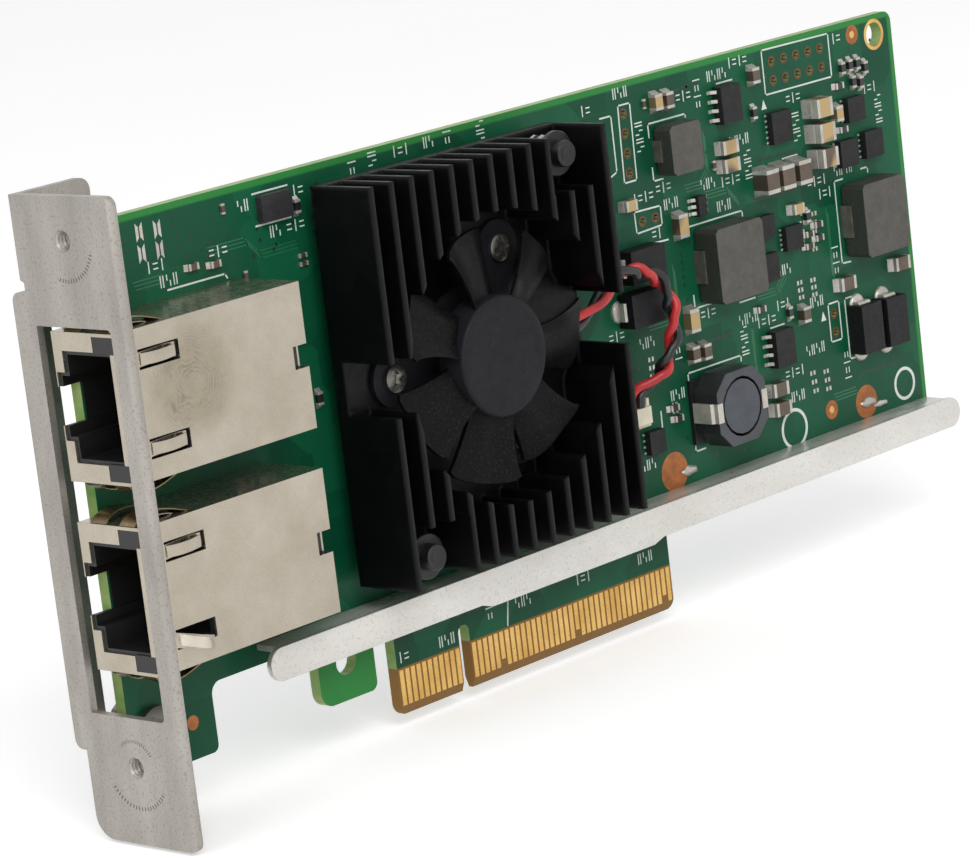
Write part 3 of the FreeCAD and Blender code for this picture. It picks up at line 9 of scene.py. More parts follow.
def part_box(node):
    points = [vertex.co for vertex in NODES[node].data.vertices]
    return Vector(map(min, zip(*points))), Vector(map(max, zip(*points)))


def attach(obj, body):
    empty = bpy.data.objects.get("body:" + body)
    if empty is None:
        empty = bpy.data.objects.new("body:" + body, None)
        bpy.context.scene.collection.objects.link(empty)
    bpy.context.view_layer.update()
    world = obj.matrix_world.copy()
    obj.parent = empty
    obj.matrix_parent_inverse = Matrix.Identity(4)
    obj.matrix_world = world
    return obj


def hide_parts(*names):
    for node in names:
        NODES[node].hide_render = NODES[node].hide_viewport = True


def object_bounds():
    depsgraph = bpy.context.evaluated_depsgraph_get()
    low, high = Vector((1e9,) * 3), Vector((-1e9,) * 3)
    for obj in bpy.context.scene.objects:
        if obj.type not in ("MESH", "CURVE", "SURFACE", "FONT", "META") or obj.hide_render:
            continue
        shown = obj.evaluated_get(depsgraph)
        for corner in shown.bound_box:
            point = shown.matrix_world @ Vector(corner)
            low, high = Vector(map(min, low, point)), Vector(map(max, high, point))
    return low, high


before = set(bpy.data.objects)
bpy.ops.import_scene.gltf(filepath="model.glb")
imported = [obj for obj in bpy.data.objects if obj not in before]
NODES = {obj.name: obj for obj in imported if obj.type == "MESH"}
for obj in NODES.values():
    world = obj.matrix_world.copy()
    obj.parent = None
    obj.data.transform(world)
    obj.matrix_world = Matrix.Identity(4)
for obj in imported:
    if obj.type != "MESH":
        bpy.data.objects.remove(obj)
cad_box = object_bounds()

MM = 0.001
TURN = 2 * pi
SHARP = radians(38)
CARD = "card"
ROTOR = "rotor"


# ---------------- places, in mm
def box(name):
    """Lowest and highest corner of a CAD node at rest."""
    return [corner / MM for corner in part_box(name)]


BOARD_LOW, BOARD_HIGH = box("circuit_board")
FRONT = BOARD_LOW.y
BACK = BOARD_HIGH.y
HUB_LOW, HUB_HIGH = box("fan_rotor")
SHAFT_LOW, SHAFT_HIGH = box("fan_shaft")
FAN_X = (SHAFT_LOW.x + SHAFT_HIGH.x) / 2
FAN_Z = (SHAFT_LOW.z + SHAFT_HIGH.z) / 2


# ---------------- materials
def linear(colour):
    """Linear colour for a colour written in 0 to 255."""
    shares = [value / 255 for value in colour]
    return (*[share / 12.92 if share <= 0.04045 else ((share + 0.055) / 1.055) ** 2.4
        for share in shares], 1.0)


class Tree:
    """A node tree in which every value is a number, a colour or a (node, output) pair."""

    def __init__(self, owner):
        owner.use_nodes = True
        self.tree = owner.node_tree
        self.tree.nodes.clear()

    def put(self, node, socket, value):
        if isinstance(value, tuple) and isinstance(value[0], bpy.types.Node):
            self.tree.links.new(value[0].outputs[value[1]], node.inputs[socket])
        else:
            node.inputs[socket].default_value = value

    def node(self, kind, sockets, output=0, **settings):
        made = self.tree.nodes.new("ShaderNode" + kind)
        for key, value in settings.items():
            setattr(made, key, value)
        for socket, value in sockets.items():
            self.put(made, socket, value)
        return made, output

    def maths(self, operation, *values):
        return self.node("Math", dict(enumerate(values)), operation=operation)

    def times(self, first, *others):
        for other in others:
            first = self.maths("MULTIPLY", first, other)
        return first

    def seen(self):
        """1 for the rays that show a colour and 0 for those that light other things."""
        rays = self.node("LightPath", {})[0]
        direct = self.maths("MAXIMUM", (rays, "Is Camera Ray"), (rays, "Is Glossy Ray"))
        return self.maths("MAXIMUM", direct, (rays, "Is Transmission Ray"))


SURFACES = {}


class Surface(Tree):
    """One material, with short calls for the nodes that it needs."""

    def __init__(self, name, slot=None):
        SURFACES[name] = self
        self.material = bpy.data.materials.new(name)
        self.slot = slot or name
        super().__init__(self.material)
        self.shader = self.node("BsdfPrincipled", {})[0]
        self.output = self.node("OutputMaterial", {"Surface": (self.shader, "BSDF")})[0]
        self.place = self.node("TexCoord", {}, "Object")

    def set(self, **values):
        for key, value in values.items():
            self.put(self.shader, key.replace("_", " "), value)

    def paint(self, colour):
        self.colour = colour
        self.set(Base_Color=colour)

    def tint(self, factor, colour):
        """Blend the base colour towards another one."""
        self.paint(self.mix(factor, self.colour, linear(colour)))

    def mix(self, factor, first, second):
        return self.node("Mix", {0: factor, 6: first, 7: second}, 2, data_type="RGBA")

    def noise(self, per_mm, detail=3.0, stretch=(1, 1, 1)):
        """Noise in the part's own frame, with so many features in a millimetre."""
        scale = [per_mm / MM * share for share in stretch]
        placed = self.node("Mapping", {"Vector": self.place, "Scale": scale})
        return self.node("TexNoise", {"Vector": placed, "Scale": 1.0, "Detail": detail}, "Fac")

    def spread(self, source, low, high, start=0.3, end=0.7):
        """A value from low to high as the source goes from start to end."""
        return self.node("MapRange", {"Value": source, "From Min": start, "From Max": end,
            "To Min": low, "To Max": high}, "Result")

    def axes(self, source=None):
        """X, Y and Z of a vector, or else of the place on the part in metres."""
        split = self.node("SeparateXYZ", {0: source or self.place})[0]
        return (split, "X"), (split, "Y"), (split, "Z")

    def beyond(self, source, limit, soft=0.3):
        """0 below a limit in millimetres and 1 above it."""
        return self.spread(source, 0, 1, (limit - soft / 2) * MM, (limit + soft / 2) * MM)

    def short_of(self, source, limit, soft=0.3):
        return self.maths("SUBTRACT", 1.0, self.beyond(source, limit, soft))

    def from_point(self, first, second, first_mm, second_mm):
        """Distance from a point, and its two parts."""
        a = self.maths("SUBTRACT", first, first_mm * MM)
        b = self.maths("SUBTRACT", second, second_mm * MM)
        return self.maths("SQRT", self.maths("ADD", self.times(a, a), self.times(b, b))), a, b

    def flat_faces(self):
        """1 on faces parallel to the board and 0 on all others."""
        across = self.axes(self.node("NewGeometry", {}, "Normal"))[1]
        return self.maths("GREATER_THAN", self.maths("ABSOLUTE", across), 0.7)

    def side_faces(self):
        return self.maths("SUBTRACT", 1.0, self.flat_faces())

    def bump(self, height, depth, edge):
        """Relief of the given depth in millimetres, over edges softened by edge mm."""
        bevel = self.node("Bevel", {"Radius": edge * MM}, samples=6)
        self.set(Normal=self.node("Bump", {"Strength": 1.0, "Distance": depth * MM,
            "Height": height, "Normal": bevel}))


def finish(name, colour, second, roughness, metallic=0.0, patch=0.12, grain=3.0,
        depth=0.004, edge=0.06, spread=0.08, specular=0.5, stretch=(1, 1, 1),
        sides=None, fleck=None, slot=None):
    """Two near colours in soft patches, uneven gloss, fine grain and softened edges.

    sides is painted shade, a darker colour on the faces that stand off the board. fleck is
    the colour of fine specks, how many cross a millimetre, and how strongly they show.
    slot is the record's material slot, where it has another name."""
    surface = Surface(name, slot)
    cloud = surface.spread(surface.noise(patch, 4.0, stretch), 0, 1)
    surface.paint(surface.mix(cloud, linear(colour), linear(second)))
    gloss = surface.spread(surface.noise(patch * 4, 3.0, stretch),
        max(roughness - spread, 0.03), roughness + spread)
    surface.set(Metallic=metallic, Specular_IOR_Level=specular, Roughness=gloss)
    surface.bump(surface.noise(grain, 2.0, stretch), depth, edge)
    # sides is painted shade: a darker colour on every face that stands off the board
    if sides:
        surface.tint(surface.side_faces(), sides)
    if fleck:
        tone, per_mm, strength = fleck
        speck = surface.spread(surface.noise(per_mm, 2.0), 0, strength, 0.56, 0.68)
        surface.tint(speck, tone)
    return surface


# ---------------- pieces
def mesh_object(name, mesh, surface):
    """Object from a bmesh in millimetres."""
    data = bpy.data.meshes.new(name)
    bmesh.ops.scale(mesh, vec=(MM, MM, MM), verts=mesh.verts)
    bmesh.ops.recalc_face_normals(mesh, faces=mesh.faces)
    mesh.to_mesh(data)
    mesh.free()
    data.materials.append(surface.material)
    made = bpy.data.objects.new(name, data)
    bpy.context.scene.collection.objects.link(made)
    return made


def piece(names, mesh, body=CARD, smooth=False):
    """Make a piece that rides on a body, from its name and its finish's."""
    name, finish_name = names.split()
    surface = SURFACES[finish_name]
    made = mesh_object(name, mesh, surface)
    if smooth:
        made.data.shade_smooth()
        made.data.set_sharp_from_angle(angle=SHARP)
    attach(made, body)
    return made


def build(*names, body=CARD, smooth=False):
    """Make pieces at once with a function that fills a mesh for each of them."""
    def run(fill):
        meshes = [bmesh.new() for _ in names]
        fill(*meshes)
        return [piece(name, mesh, body, smooth) for name, mesh in zip(names, meshes)]
    return run


def islands(name):
    """Low and high corner, in mm, of each separate solid in a CAD node."""
    mesh = bmesh.new()
    mesh.from_mesh(NODES[name].data)
    bmesh.ops.remove_doubles(mesh, verts=mesh.verts, dist=1e-6)
    left = set(mesh.verts)
    found = []
    while left:
        group = [left.pop()]
        for vert in group:
            near = {edge.other_vert(vert) for edge in vert.link_edges} & left
            left -= near
            group += near
        sides = list(zip(*[vert.co / MM for vert in group]))
        found.append([Vector([pick(side) for side in sides]) for pick in (min, max)])
    mesh.free()
    return sorted(found, key=lambda pair: tuple(pair[0]))


def ring(x, y, z, radius, sides):
    """Points round an axis along Y, or the one point on it where the radius is 0."""
    angles = [TURN * i / sides for i in range(sides)] if radius else [0.0]
    return [(x + radius * cos(a), y, z + radius * sin(a)) for a in angles]


def skin(mesh, near, far, closed=True):
    """Faces between two rows of vertices, of which one may be a single point."""
    count = max(len(near), len(far))
    for i in range(count if closed else count - 1):
        j = (i + 1) % count
        corners = (near[i % len(near)], near[j % len(near)],
            far[j % len(far)], far[i % len(far)])
        mesh.faces.new(tuple(dict.fromkeys(corners)))


def add_grid(mesh, rows, closed=True, caps=False):
    """Skin over rows of points; closed joins each row's end to its start."""
    made = [[mesh.verts.new(point) for point in row] for row in rows]
    for near, far in zip(made, made[1:]):
        skin(mesh, near, far, closed)
    if caps:
        mesh.faces.new(made[0])
        mesh.faces.new(made[-1])
    return made


def add_lathe(mesh, profile, x, z, sides=48):
    """Turned form about an axis along Y, from an open line of (radius, y) points."""
    add_grid(mesh, [ring(x, y, z, radius, sides) for radius, y in profile])


def add_box(mesh, x0, x1, y0, y1, z0, z1, soft=0.0):
    """Box with its edges softened by soft millimetres."""
    size = Vector((x1 - x0, y1 - y0, z1 - z0))
    middle = Vector((x0 + x1, y0 + y1, z0 + z1)) / 2
    made = bmesh.ops.create_cube(mesh, size=1.0, matrix=Matrix.LocRotScale(middle, None, size))
    if soft:
        edges = list({edge for vert in made["verts"] for edge in vert.link_edges})
        bmesh.ops.bevel(mesh, geom=edges, offset=soft, segments=2, profile=0.5, affect="EDGES")


def add_disc(mesh, x, z, radius, y0, y1, inner=0.0, sides=20):
    """Disc or ring lying on the board between two levels."""
    if not inner:
        add_grid(mesh, [ring(x, y, z, radius, sides) for y in (y0, y1)], caps=True)
        return
    loops = [[mesh.verts.new(point) for point in ring(x, y, z, r, sides)]
        for y, r in ((y0, radius), (y0, inner), (y1, inner), (y1, radius))]
    for near, far in zip(loops, loops[1:] + loops[:1]):
        skin(mesh, near, far)


def add_plate(mesh, outline, y0, y1):
    """Flat plate with an outline of (x, z) points between two levels."""
    add_grid(mesh, [[(x, y, z) for x, z in outline] for y in (y0, y1)], caps=True)


def add_line(mesh, points, width, level):
    """Flat line of the given width along (x, z) points, from a level to the board."""
    for start, stop in zip(points, points[1:]):
        start, stop = Vector(start), Vector(stop)
        ahead = (stop - start).normalized() * width / 2
        side = Vector((-ahead.y, ahead.x))
        start, stop = start - ahead, stop + ahead
        add_plate(mesh, (start + side, stop + side, stop - side, start - side), level, FRONT)


# ---------------- stage
WHITE = (1.0, 1.0, 1.0, 1.0)
FLOOR_LOW = (0.86, 0.86, 0.86, 1)
FLOOR_HIGH = (0.9, 0.9, 0.9, 1)
CAMERA = dict(sensor_width=36.0, lens=164.07, shift_x=0.0164, shift_y=0.0657, clip_start=0.01)
CAMERA_PLACE = (-0.3749, -0.3730, 0.1433)
CAMERA_LOOK = (0.69593, 0.68384, -0.21918)
CAMERA_UP = (0.23940, 0.06682, 0.96862)
WORLD_LIGHT = 0.62
FLOOR_GAP = 0.4
FLOOR_REACH = 3000.0
FLOOR_LIFT = 0.32
# Name, place, aim, size in metres, and power in watts.
LAMPS = (
    ("key", (-0.5, -0.75, 0.75), (0.0, 0.0, 0.04), 0.6, 6.0),
    ("side", (-0.9, -0.1, 0.35), (-0.03, 0.0, 0.04), 0.5, 2.0),
)


def make_floor():
    """Pale floor that shows white and keeps the object's shadow."""
    mesh = bmesh.new()
    top = cad_box[0][2] / MM - FLOOR_GAP
    add_box(mesh, -FLOOR_REACH, FLOOR_REACH, -FLOOR_REACH, FLOOR_REACH, top - 1, top)
    paper = Surface("floor_paper")
    paper.paint(paper.mix(paper.noise(0.01), FLOOR_LOW, FLOOR_HIGH))
    paper.set(Roughness=0.9, Specular_IOR_Level=0.1)
    glow = paper.node("Emission", {"Strength": paper.times(paper.seen(), FLOOR_LIFT)})
    both = paper.node("AddShader", {0: (paper.shader, "BSDF"), 1: glow})
    paper.put(paper.output, "Surface", both)
    mesh_object("floor", mesh, paper)


def make_stage():
    """Floor, level light, and the camera."""
    scene = bpy.context.scene
    scene.view_settings.view_transform = "Standard"
    world = bpy.data.worlds.new("studio")
    scene.world = world
    sky = Tree(world)
    light = sky.node("Background", {"Color": WHITE, "Strength": WORLD_LIGHT})
    shown = sky.node("Background", {"Color": WHITE, "Strength": 1.0})
    both = sky.node("MixShader", {0: sky.seen(), 1: light, 2: shown})
    sky.node("OutputWorld", {"Surface": both})
    make_floor()

    for name, place, aim, size, power in LAMPS:
        lamp = bpy.data.lights.new(name, "AREA")
        lamp.shape = "SQUARE"
        lamp.size = size
        lamp.energy = power
        holder = bpy.data.objects.new(name, lamp)
        holder.location = place
        direction = Vector(aim) - Vector(place)
        holder.rotation_euler = direction.to_track_quat("-Z", "Y").to_euler()
        scene.collection.objects.link(holder)

    camera = bpy.data.cameras.new("camera")
    for key, value in CAMERA.items():
        setattr(camera, key, value)
    holder = bpy.data.objects.new("camera", camera)
    look = Vector(CAMERA_LOOK).normalized()
    right = look.cross(Vector(CAMERA_UP)).normalized()
    turn = Matrix((right, right.cross(look), -look)).transposed().to_4x4()
    holder.matrix_world = Matrix.Translation(Vector(CAMERA_PLACE)) @ turn
    scene.collection.objects.link(holder)
    scene.camera = holder


make_stage()


# ---------------- finishes
finish("bracket_steel", (170, 165, 158), (150, 145, 138), 0.4, metallic=0.6, patch=0.25,
    grain=1.2, depth=0.006, stretch=(1, 1, 0.3), fleck=((112, 107, 100), 3.2, 0.5))
SHIELD = dict(colour=(184, 176, 161), second=(170, 161, 146), roughness=0.27, metallic=0.95,
    patch=0.15, grain=2.0, depth=0.001, spread=0.06, fleck=((140, 132, 118), 4.0, 0.25))
finish("shield_steel", **SHIELD)
finish("bar_steel", (226, 224, 218), (208, 205, 198), 0.32, metallic=0.55, grain=1.0,
    depth=0.006, stretch=(0.4, 1, 1), fleck=((168, 164, 156), 2.6, 0.35))
finish("screw_steel", (132, 129, 122), (92, 89, 84), 0.36, metallic=0.85)
finish("tin", (204, 200, 191), (176, 171, 162), 0.34, metallic=0.5, patch=0.5, grain=1.2,
    depth=0.003, edge=0.12)
finish("solder", (196, 193, 186), (164, 160, 152), 0.32, metallic=0.6, patch=0.6, grain=1.0,
    slot="tin")
finish("strap_grey", (120, 115, 106), (92, 88, 81), 0.4, metallic=0.5, patch=0.8)
finish("core_blue", (68, 72, 80), (57, 61, 68), 0.45, patch=0.5)
finish("gold", (236, 194, 116), (212, 164, 86), 0.33, metallic=0.65, patch=0.3, grain=4.0,
    fleck=((150, 108, 54), 3.0, 0.15))
finish("black_aluminium", (9, 9, 10), (5, 5, 6), 0.4, patch=0.3, grain=3.5, edge=0.7,
    specular=0.16)
finish("fan_plastic", (35, 34, 39), (27, 26, 30), 0.5, patch=0.2, grain=5.0, edge=0.12,
    specular=0.12, fleck=((88, 86, 88), 5.5, 0.08))
# Painted shade: a darker copy of the fan plastic, worn by the blades.
finish("blade_plastic", (17, 17, 19), (9, 9, 10), 0.4, patch=0.16, grain=4.0, depth=0.005,
    edge=0.2, specular=0.1, fleck=((96, 94, 92), 3.5, 0.1), slot="fan_plastic")
finish("pin_plastic", (26, 26, 28), (18, 18, 20), 0.4, patch=0.4, grain=5.0, specular=0.4)
finish("insert_plastic", (24, 24, 25), (15, 15, 16), 0.42)
finish("lamp_guide", (20, 20, 22), (12, 12, 14), 0.12)
# sides: painted shade on the faces that stand off the board
finish("chip_epoxy", (42, 41, 43), (32, 32, 34), 0.55, patch=0.8, grain=8.0, depth=0.01,
    edge=0.1, specular=0.2, sides=(27, 27, 29), fleck=((66, 65, 66), 6.0, 0.4))
finish("pad_grey", (150, 150, 152), (132, 132, 136), 0.8)
finish("spring_steel", (170, 168, 164), (140, 138, 135), 0.3, metallic=0.9)
finish("bronze", (150, 118, 74), (126, 96, 58), 0.45, metallic=0.8)
finish("magnet", (52, 52, 54), (40, 40, 42), 0.5)
finish("core_steel", (104, 104, 108), (84, 84, 88), 0.4, metallic=0.8, grain=4.0,
    stretch=(0.2, 4, 0.2))
finish("copper", (168, 96, 58), (136, 72, 40), 0.35, metallic=0.6, patch=0.8, depth=0.02)
finish("wire_red", (200, 48, 50), (174, 34, 38), 0.36, patch=0.3, grain=1.5, depth=0.01)
finish("wire_black", (32, 32, 34), (22, 22, 24), 0.36, patch=0.3, grain=1.5, depth=0.01)
finish("cream_plastic", (222, 216, 196), (206, 198, 176), 0.42, patch=0.4)
finish("resistor_glaze", (40, 40, 42), (26, 26, 28), 0.3, patch=0.8)
finish("crystal_can", (54, 53, 55), (42, 42, 44), 0.42, metallic=0.2, patch=0.5,
    fleck=((76, 74, 75), 5.0, 0.5))
# sides: painted shade on the faces that stand off the board
finish("inductor_grey", (82, 79, 73), (70, 67, 61), 0.55, patch=0.5, grain=5.0, depth=0.015,
    edge=0.15, sides=(40, 44, 37), fleck=((82, 78, 72), 4.0, 0.4))
# sides: painted shade on the faces that stand off the board
finish("ferrite", (66, 68, 73), (52, 54, 58), 0.4, patch=0.3, grain=4.0, depth=0.006, edge=0.2,
    sides=(34, 34, 36), fleck=((74, 75, 79), 5.0, 0.2))
finish("drum_base", (26, 26, 28), (18, 18, 20), 0.4)
# sides: painted shade on the faces that stand off the board
finish("tantalum", (34, 33, 36), (24, 24, 26), 0.5, patch=0.5, edge=0.15, specular=0.2,
    sides=(16, 16, 17), fleck=((58, 57, 60), 5.0, 0.4))
finish("bare_copper", (182, 110, 52), (146, 84, 38), 0.42, metallic=0.35, patch=0.6,
    fleck=((96, 74, 40), 3.0, 0.5), slot="board")
finish("dull_copper", (112, 74, 50), (84, 56, 40), 0.4, metallic=0.3, patch=1.0, slot="board")
finish("spring_bronze", (150, 132, 98), (112, 96, 70), 0.25, metallic=0.9, patch=0.4,
    slot="bronze")
# Painted shade: near-black sheet laid over the board inside each port.
finish("lining_black", (10, 10, 11), (6, 6, 7), 0.6, patch=0.4, slot="insert_plastic")
finish("tiny_brown", (92, 78, 64), (60, 52, 44), 0.45, patch=0.6, slot="ceramic")
# Painted highlight: a brighter copy of the shield steel, worn by the bent tongue.
finish("bright_steel", (214, 207, 194), (190, 182, 168), 0.2, metallic=0.95, patch=0.3,
    slot="shield_steel")
finish("silk_ink", (226, 232, 226), (204, 212, 204), 0.6, patch=0.6, grain=6.0, depth=0.002,
    slot="board")
finish("via_mask", (16, 52, 36), (10, 36, 26), 0.4, patch=1.0, slot="board")
finish("trace_mask", (38, 112, 74), (30, 98, 64), 0.36, patch=0.4, slot="board")


def stamp_dots(mat):
    """Arcs of small dark dots round the two holes in the bracket's face."""
    _, y, z = mat.axes()
    for middle, low, high, turn_from, turn_to in STAMPS:
        apart, across, up = mat.from_point(y, z, HOLE_Y, middle)
        angle = mat.maths("ARCTAN2", up, across)
        wave = mat.maths("SINE", mat.times(angle, DOT_BEAT))
        mat.tint(mat.times(mat.beyond(apart, low, 0.05), mat.short_of(apart, high, 0.05),
            mat.maths("GREATER_THAN", angle, turn_from),
            mat.maths("LESS_THAN", angle, turn_to),
            mat.maths("GREATER_THAN", wave, 0.35), 0.75), (62, 58, 53))


def make_ceramic():
    """Capacitor bodies, each with a tone of its own between brown grey and tan, and painted
    shade on their sides.
    """
    mat = finish("ceramic", (96, 81, 66), (80, 67, 54), 0.4, patch=0.5, grain=4.0, edge=0.1)
    mat.tint(mat.spread(mat.noise(0.16, 0.0), 0, 1, 0.55, 0.62), (186, 158, 108))
    # Painted shade: the side faces of every body are darkened towards dark brown.
    mat.tint(mat.times(mat.side_faces(), 0.75), (56, 50, 42))


def make_marked_shield():
    """Shield steel with the smudge of a fingertip on its broad face."""
    mat = finish("shield_smudged", **SHIELD)
    x, _, z = mat.axes()
    apart = mat.from_point(x, z, SMUDGE_X, SMUDGE_Z)[0]
    warp = mat.times(mat.noise(0.14), 9.0 * MM)
    phase = mat.times(mat.maths("ADD", apart, warp), SMUDGE_RIDGES / MM)
    wave = mat.times(mat.maths("SINE", phase), 0.5)
    inside = mat.spread(apart, 1, 0, SMUDGE_RADIUS * 0.6 * MM, SMUDGE_RADIUS * MM)
    broken = mat.spread(mat.noise(0.5, 4.0), 0.0, 0.55, 0.42, 0.7)
    mat.tint(mat.times(inside, 0.5), (138, 127, 106))
    mat.tint(mat.times(mat.maths("ADD", wave, 0.5), inside, broken), (116, 107, 92))


def make_board_finish():
    """Solder mask over copper on both faces, bare laminate on every edge.

    The mask is brighter where no copper lies under it, near the edges, and there is none
    between the edge contacts."""
    mat = Surface("solder_mask", "board")
    tone = mat.spread(mat.noise(0.07, 4.0), 0, 1, 0.35, 0.65)
    mat.paint(mat.mix(tone, linear((7, 71, 47)), linear((15, 86, 57))))
    pours = mat.node("TexVoronoi", {"Scale": POUR_SCALE / MM, "Vector": mat.place},
        "Color", distance="CHEBYCHEV")
    cell = mat.node("SeparateColor", {"Color": pours})[0]
    mat.tint(mat.spread((cell, "Red"), 0, 0.34, 0.5, 0.55), (24, 100, 66))
    mat.tint(mat.spread((cell, "Green"), 0, 0.34, 0.62, 0.66), (4, 57, 38))
    x, _, z = mat.axes()
    edges = mat.maths("MAXIMUM", mat.beyond(z, BOARD_HIGH.z - BAND),
        mat.beyond(x, BOARD_HIGH.x - BAND))
    before = mat.short_of(x, TONGUE_START - 1.0)
    feet = mat.times(mat.short_of(z, TONGUE_ROOT - 0.5), before, mat.beyond(x, HOOK_FROM, 0.1))
    mat.tint(mat.times(mat.maths("MAXIMUM", edges, feet), 0.8), (52, 138, 62))
    weave = mat.spread(mat.noise(1.5, 2.0, (1, 0.2, 0.3)), 0, 1)
    edge = mat.mix(weave, linear((104, 150, 78)), linear((156, 168, 112)))
    mat.paint(mat.mix(mat.flat_faces(), edge, mat.colour))
    mat.tint(mat.times(mat.maths("SUBTRACT", 1.0, before),
        mat.short_of(z, BARE_TOP, 0.1)), (134, 98, 50))
    mat.bump(mat.noise(1.4), 0.01, 0.08)
    mat.set(Roughness=mat.spread(mat.noise(0.4), 0.3, 0.42), Specular_IOR_Level=0.18)


HOLE_Y = -5.2
HOLES_Z = (68.65, 7.8)
DOT_BEAT = 62.0
# Middle Z, inner and outer radius in mm, and the arc's ends in radians.
STAMPS = ((HOLES_Z[0], 4.3, 4.75, -2.9, -1.2), (HOLES_Z[1], 4.6, 5.05, -2.6, -0.5),
    (HOLES_Z[1], 3.0, 3.4, 0.9, 2.6))
SMUDGE_X = -48.2
SMUDGE_Z = 50.6
SMUDGE_RADIUS = 7.0
SMUDGE_RIDGES = 14.0
POUR_SCALE = 0.11
BAND = 0.8
HOOK_FROM = -34.0
TONGUE_ROOT = 12.7
TONGUE_START = -12.15
BARE_TOP = 5.9
stamp_dots(SURFACES["bracket_steel"])
make_ceramic()
make_marked_shield()
make_board_finish()
# Finish and the CAD nodes that wear it.
DRESS = {"solder_mask": "circuit_board fan_circuit",
    "gold": "edge_contacts jack_1_contacts jack_2_contacts", "bracket_steel": "bracket",
    "screw_steel": "bracket_screws fan_screws", "black_aluminium": "heatsink",
    "chip_epoxy": "controller_chip leadless_chips leaded_chips", "pad_grey": "thermal_pad",
    "pin_plastic": "push_pins", "spring_steel": "push_pin_springs fan_shaft",
    "fan_plastic": "fan_base fan_rotor", "bronze": "fan_bearing", "core_steel": "fan_armature",
    "copper": "fan_coils drum_winding", "magnet": "fan_magnet",
    "cream_plastic": "fan_plug fan_socket", "bar_steel": "stiffener_bar",
    "ceramic": "ceramic_capacitors",
    "tin": "capacitor_ends chip_leads drum_straps tantalum_straps jack_1_legs jack_2_legs",
    "resistor_glaze": "chip_resistors", "crystal_can": "crystal",
    "inductor_grey": "moulded_inductors", "ferrite": "drum_shield", "core_blue": "drum_core",
    "strap_grey": "inductor_straps", "drum_base": "drum_base",
    "tantalum": "tantalum_capacitors", "shield_smudged": "jack_1_shell",
    "shield_steel": "jack_2_shell", "insert_plastic": "jack_1_insert jack_2_insert",
    "lamp_guide": "jack_1_lamps jack_2_lamps", "wire_red": "fan_lead_red",
    "wire_black": "fan_lead_black"}
for finish_name, nodes in DRESS.items():
    for node in nodes.split():
        slots = NODES[node].data.materials
        slots.clear()
        slots.append(SURFACES[finish_name].material)


# ---------------- fan
FAN_RADIUS = 15.6
FAN_FACE = HUB_LOW.y
BLADE_BACK = -7.05
HUB_RADIUS = 7.45
HUB_ROUND = 0.55
HUB_FLAT = 1.4
BLADES = 7
BLADE_PHASE = -4.0
BLADE_ROOT_WIDTH = 5.4
BLADE_TIP_WIDTH = 9.4
BLADE_THICK = 0.55
BLADE_STEPS = 16
BLADE_SUNK = 0.6
BLADE_DROP = 0.35
HUB_GAP = 0.07
SHAFT_CLEAR = 1.05
HUB_PIPS = ((-2.3, 2.0), (3.0, -2.6), (0.3, -3.1))


def blade_point(u, t, lift):
    """Point on a blade, u from hub to tip, t from its deep edge to its front edge."""
    root = HUB_RADIUS - BLADE_SUNK
    radius = root + (FAN_RADIUS - root) * u
    width = BLADE_ROOT_WIDTH + (BLADE_TIP_WIDTH - BLADE_ROOT_WIDTH) * u ** 1.6
    across = t * width / 2 + 0.5 * u * u
    radius -= 0.5 * u ** 10 * abs(t) ** 14
    angle = across / radius
    share = 0.5 - 0.5 * t + 0.1 * sin(pi * t)
    front = FAN_FACE + BLADE_DROP
    depth = (BLADE_BACK - BLADE_THICK - front) * (0.62 + 0.38 * u)
    return radius * cos(angle), front + depth * share + lift, radius * sin(angle)


@build("fan_hub fan_plastic", body=ROTOR, smooth=True)
def hub(mesh):
    """Hub cup with a rounded rim, hollow over the magnet and the shaft."""
    magnet_low, magnet_high = box("fan_magnet")
    inner = (magnet_high.x - magnet_low.x) / 2 + HUB_GAP
    ceiling = magnet_low.y - HUB_GAP
    pocket = SHAFT_LOW.y - HUB_GAP
    rim = [(HUB_RADIUS - HUB_ROUND * (1 - sin(a)), FAN_FACE + HUB_ROUND * (1 - cos(a)))
        for a in [radians(degrees) for degrees in range(0, 91, 18)]]
    add_lathe(mesh, [(0, FAN_FACE), (HUB_RADIUS - HUB_FLAT, FAN_FACE), *rim,
        (HUB_RADIUS, HUB_HIGH.y), (inner, HUB_HIGH.y), (inner, ceiling),
        (SHAFT_CLEAR, ceiling), (SHAFT_CLEAR, pocket), (0, pocket)], FAN_X, FAN_Z, 72)
    for x, z in HUB_PIPS:
        add_lathe(mesh, [(0, FAN_FACE - 0.12), (0.2, FAN_FACE - 0.09), (0.36, FAN_FACE)],
            FAN_X + x, FAN_Z + z, 12)


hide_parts("fan_rotor")


@build("fan_blades blade_plastic", body=ROTOR, smooth=True)
def blades(mesh):
    """Seven swept blades with rounded corners, in a darker copy of the fan plastic that is
    painted shade.
    """
    across = [-1 + 2 * k / BLADE_STEPS for k in range(BLADE_STEPS + 1)]
    for index in range(BLADES):
        turn = radians(BLADE_PHASE + index * 360 / BLADES)
        rows = []
        for i in range(BLADE_STEPS + 1):
            u = i / BLADE_STEPS
            section = [blade_point(u, t, 0) for t in across]
            section += [blade_point(u, -t, BLADE_THICK) for t in across]
            rows.append([(FAN_X + x * cos(turn) - z * sin(turn), y,
                FAN_Z + x * sin(turn) + z * cos(turn)) for x, y, z in section])
        tip = add_grid(mesh, rows)[-1]
        for k in range(BLADE_STEPS):
            mesh.faces.new((tip[k], tip[k + 1], tip[-k - 2], tip[-k - 1]))


# ---------------- screws and pins
SLOT = 0.24
ARM = 0.74
HEAD_RINGS = 28
HEAD_SIDES = 96
# CAD node, height of the heads and turn of the first one's recess in radians.
SCREWS = (("fan_screws", 0.8, 0.5), ("bracket_screws", 1.7, 0.9))
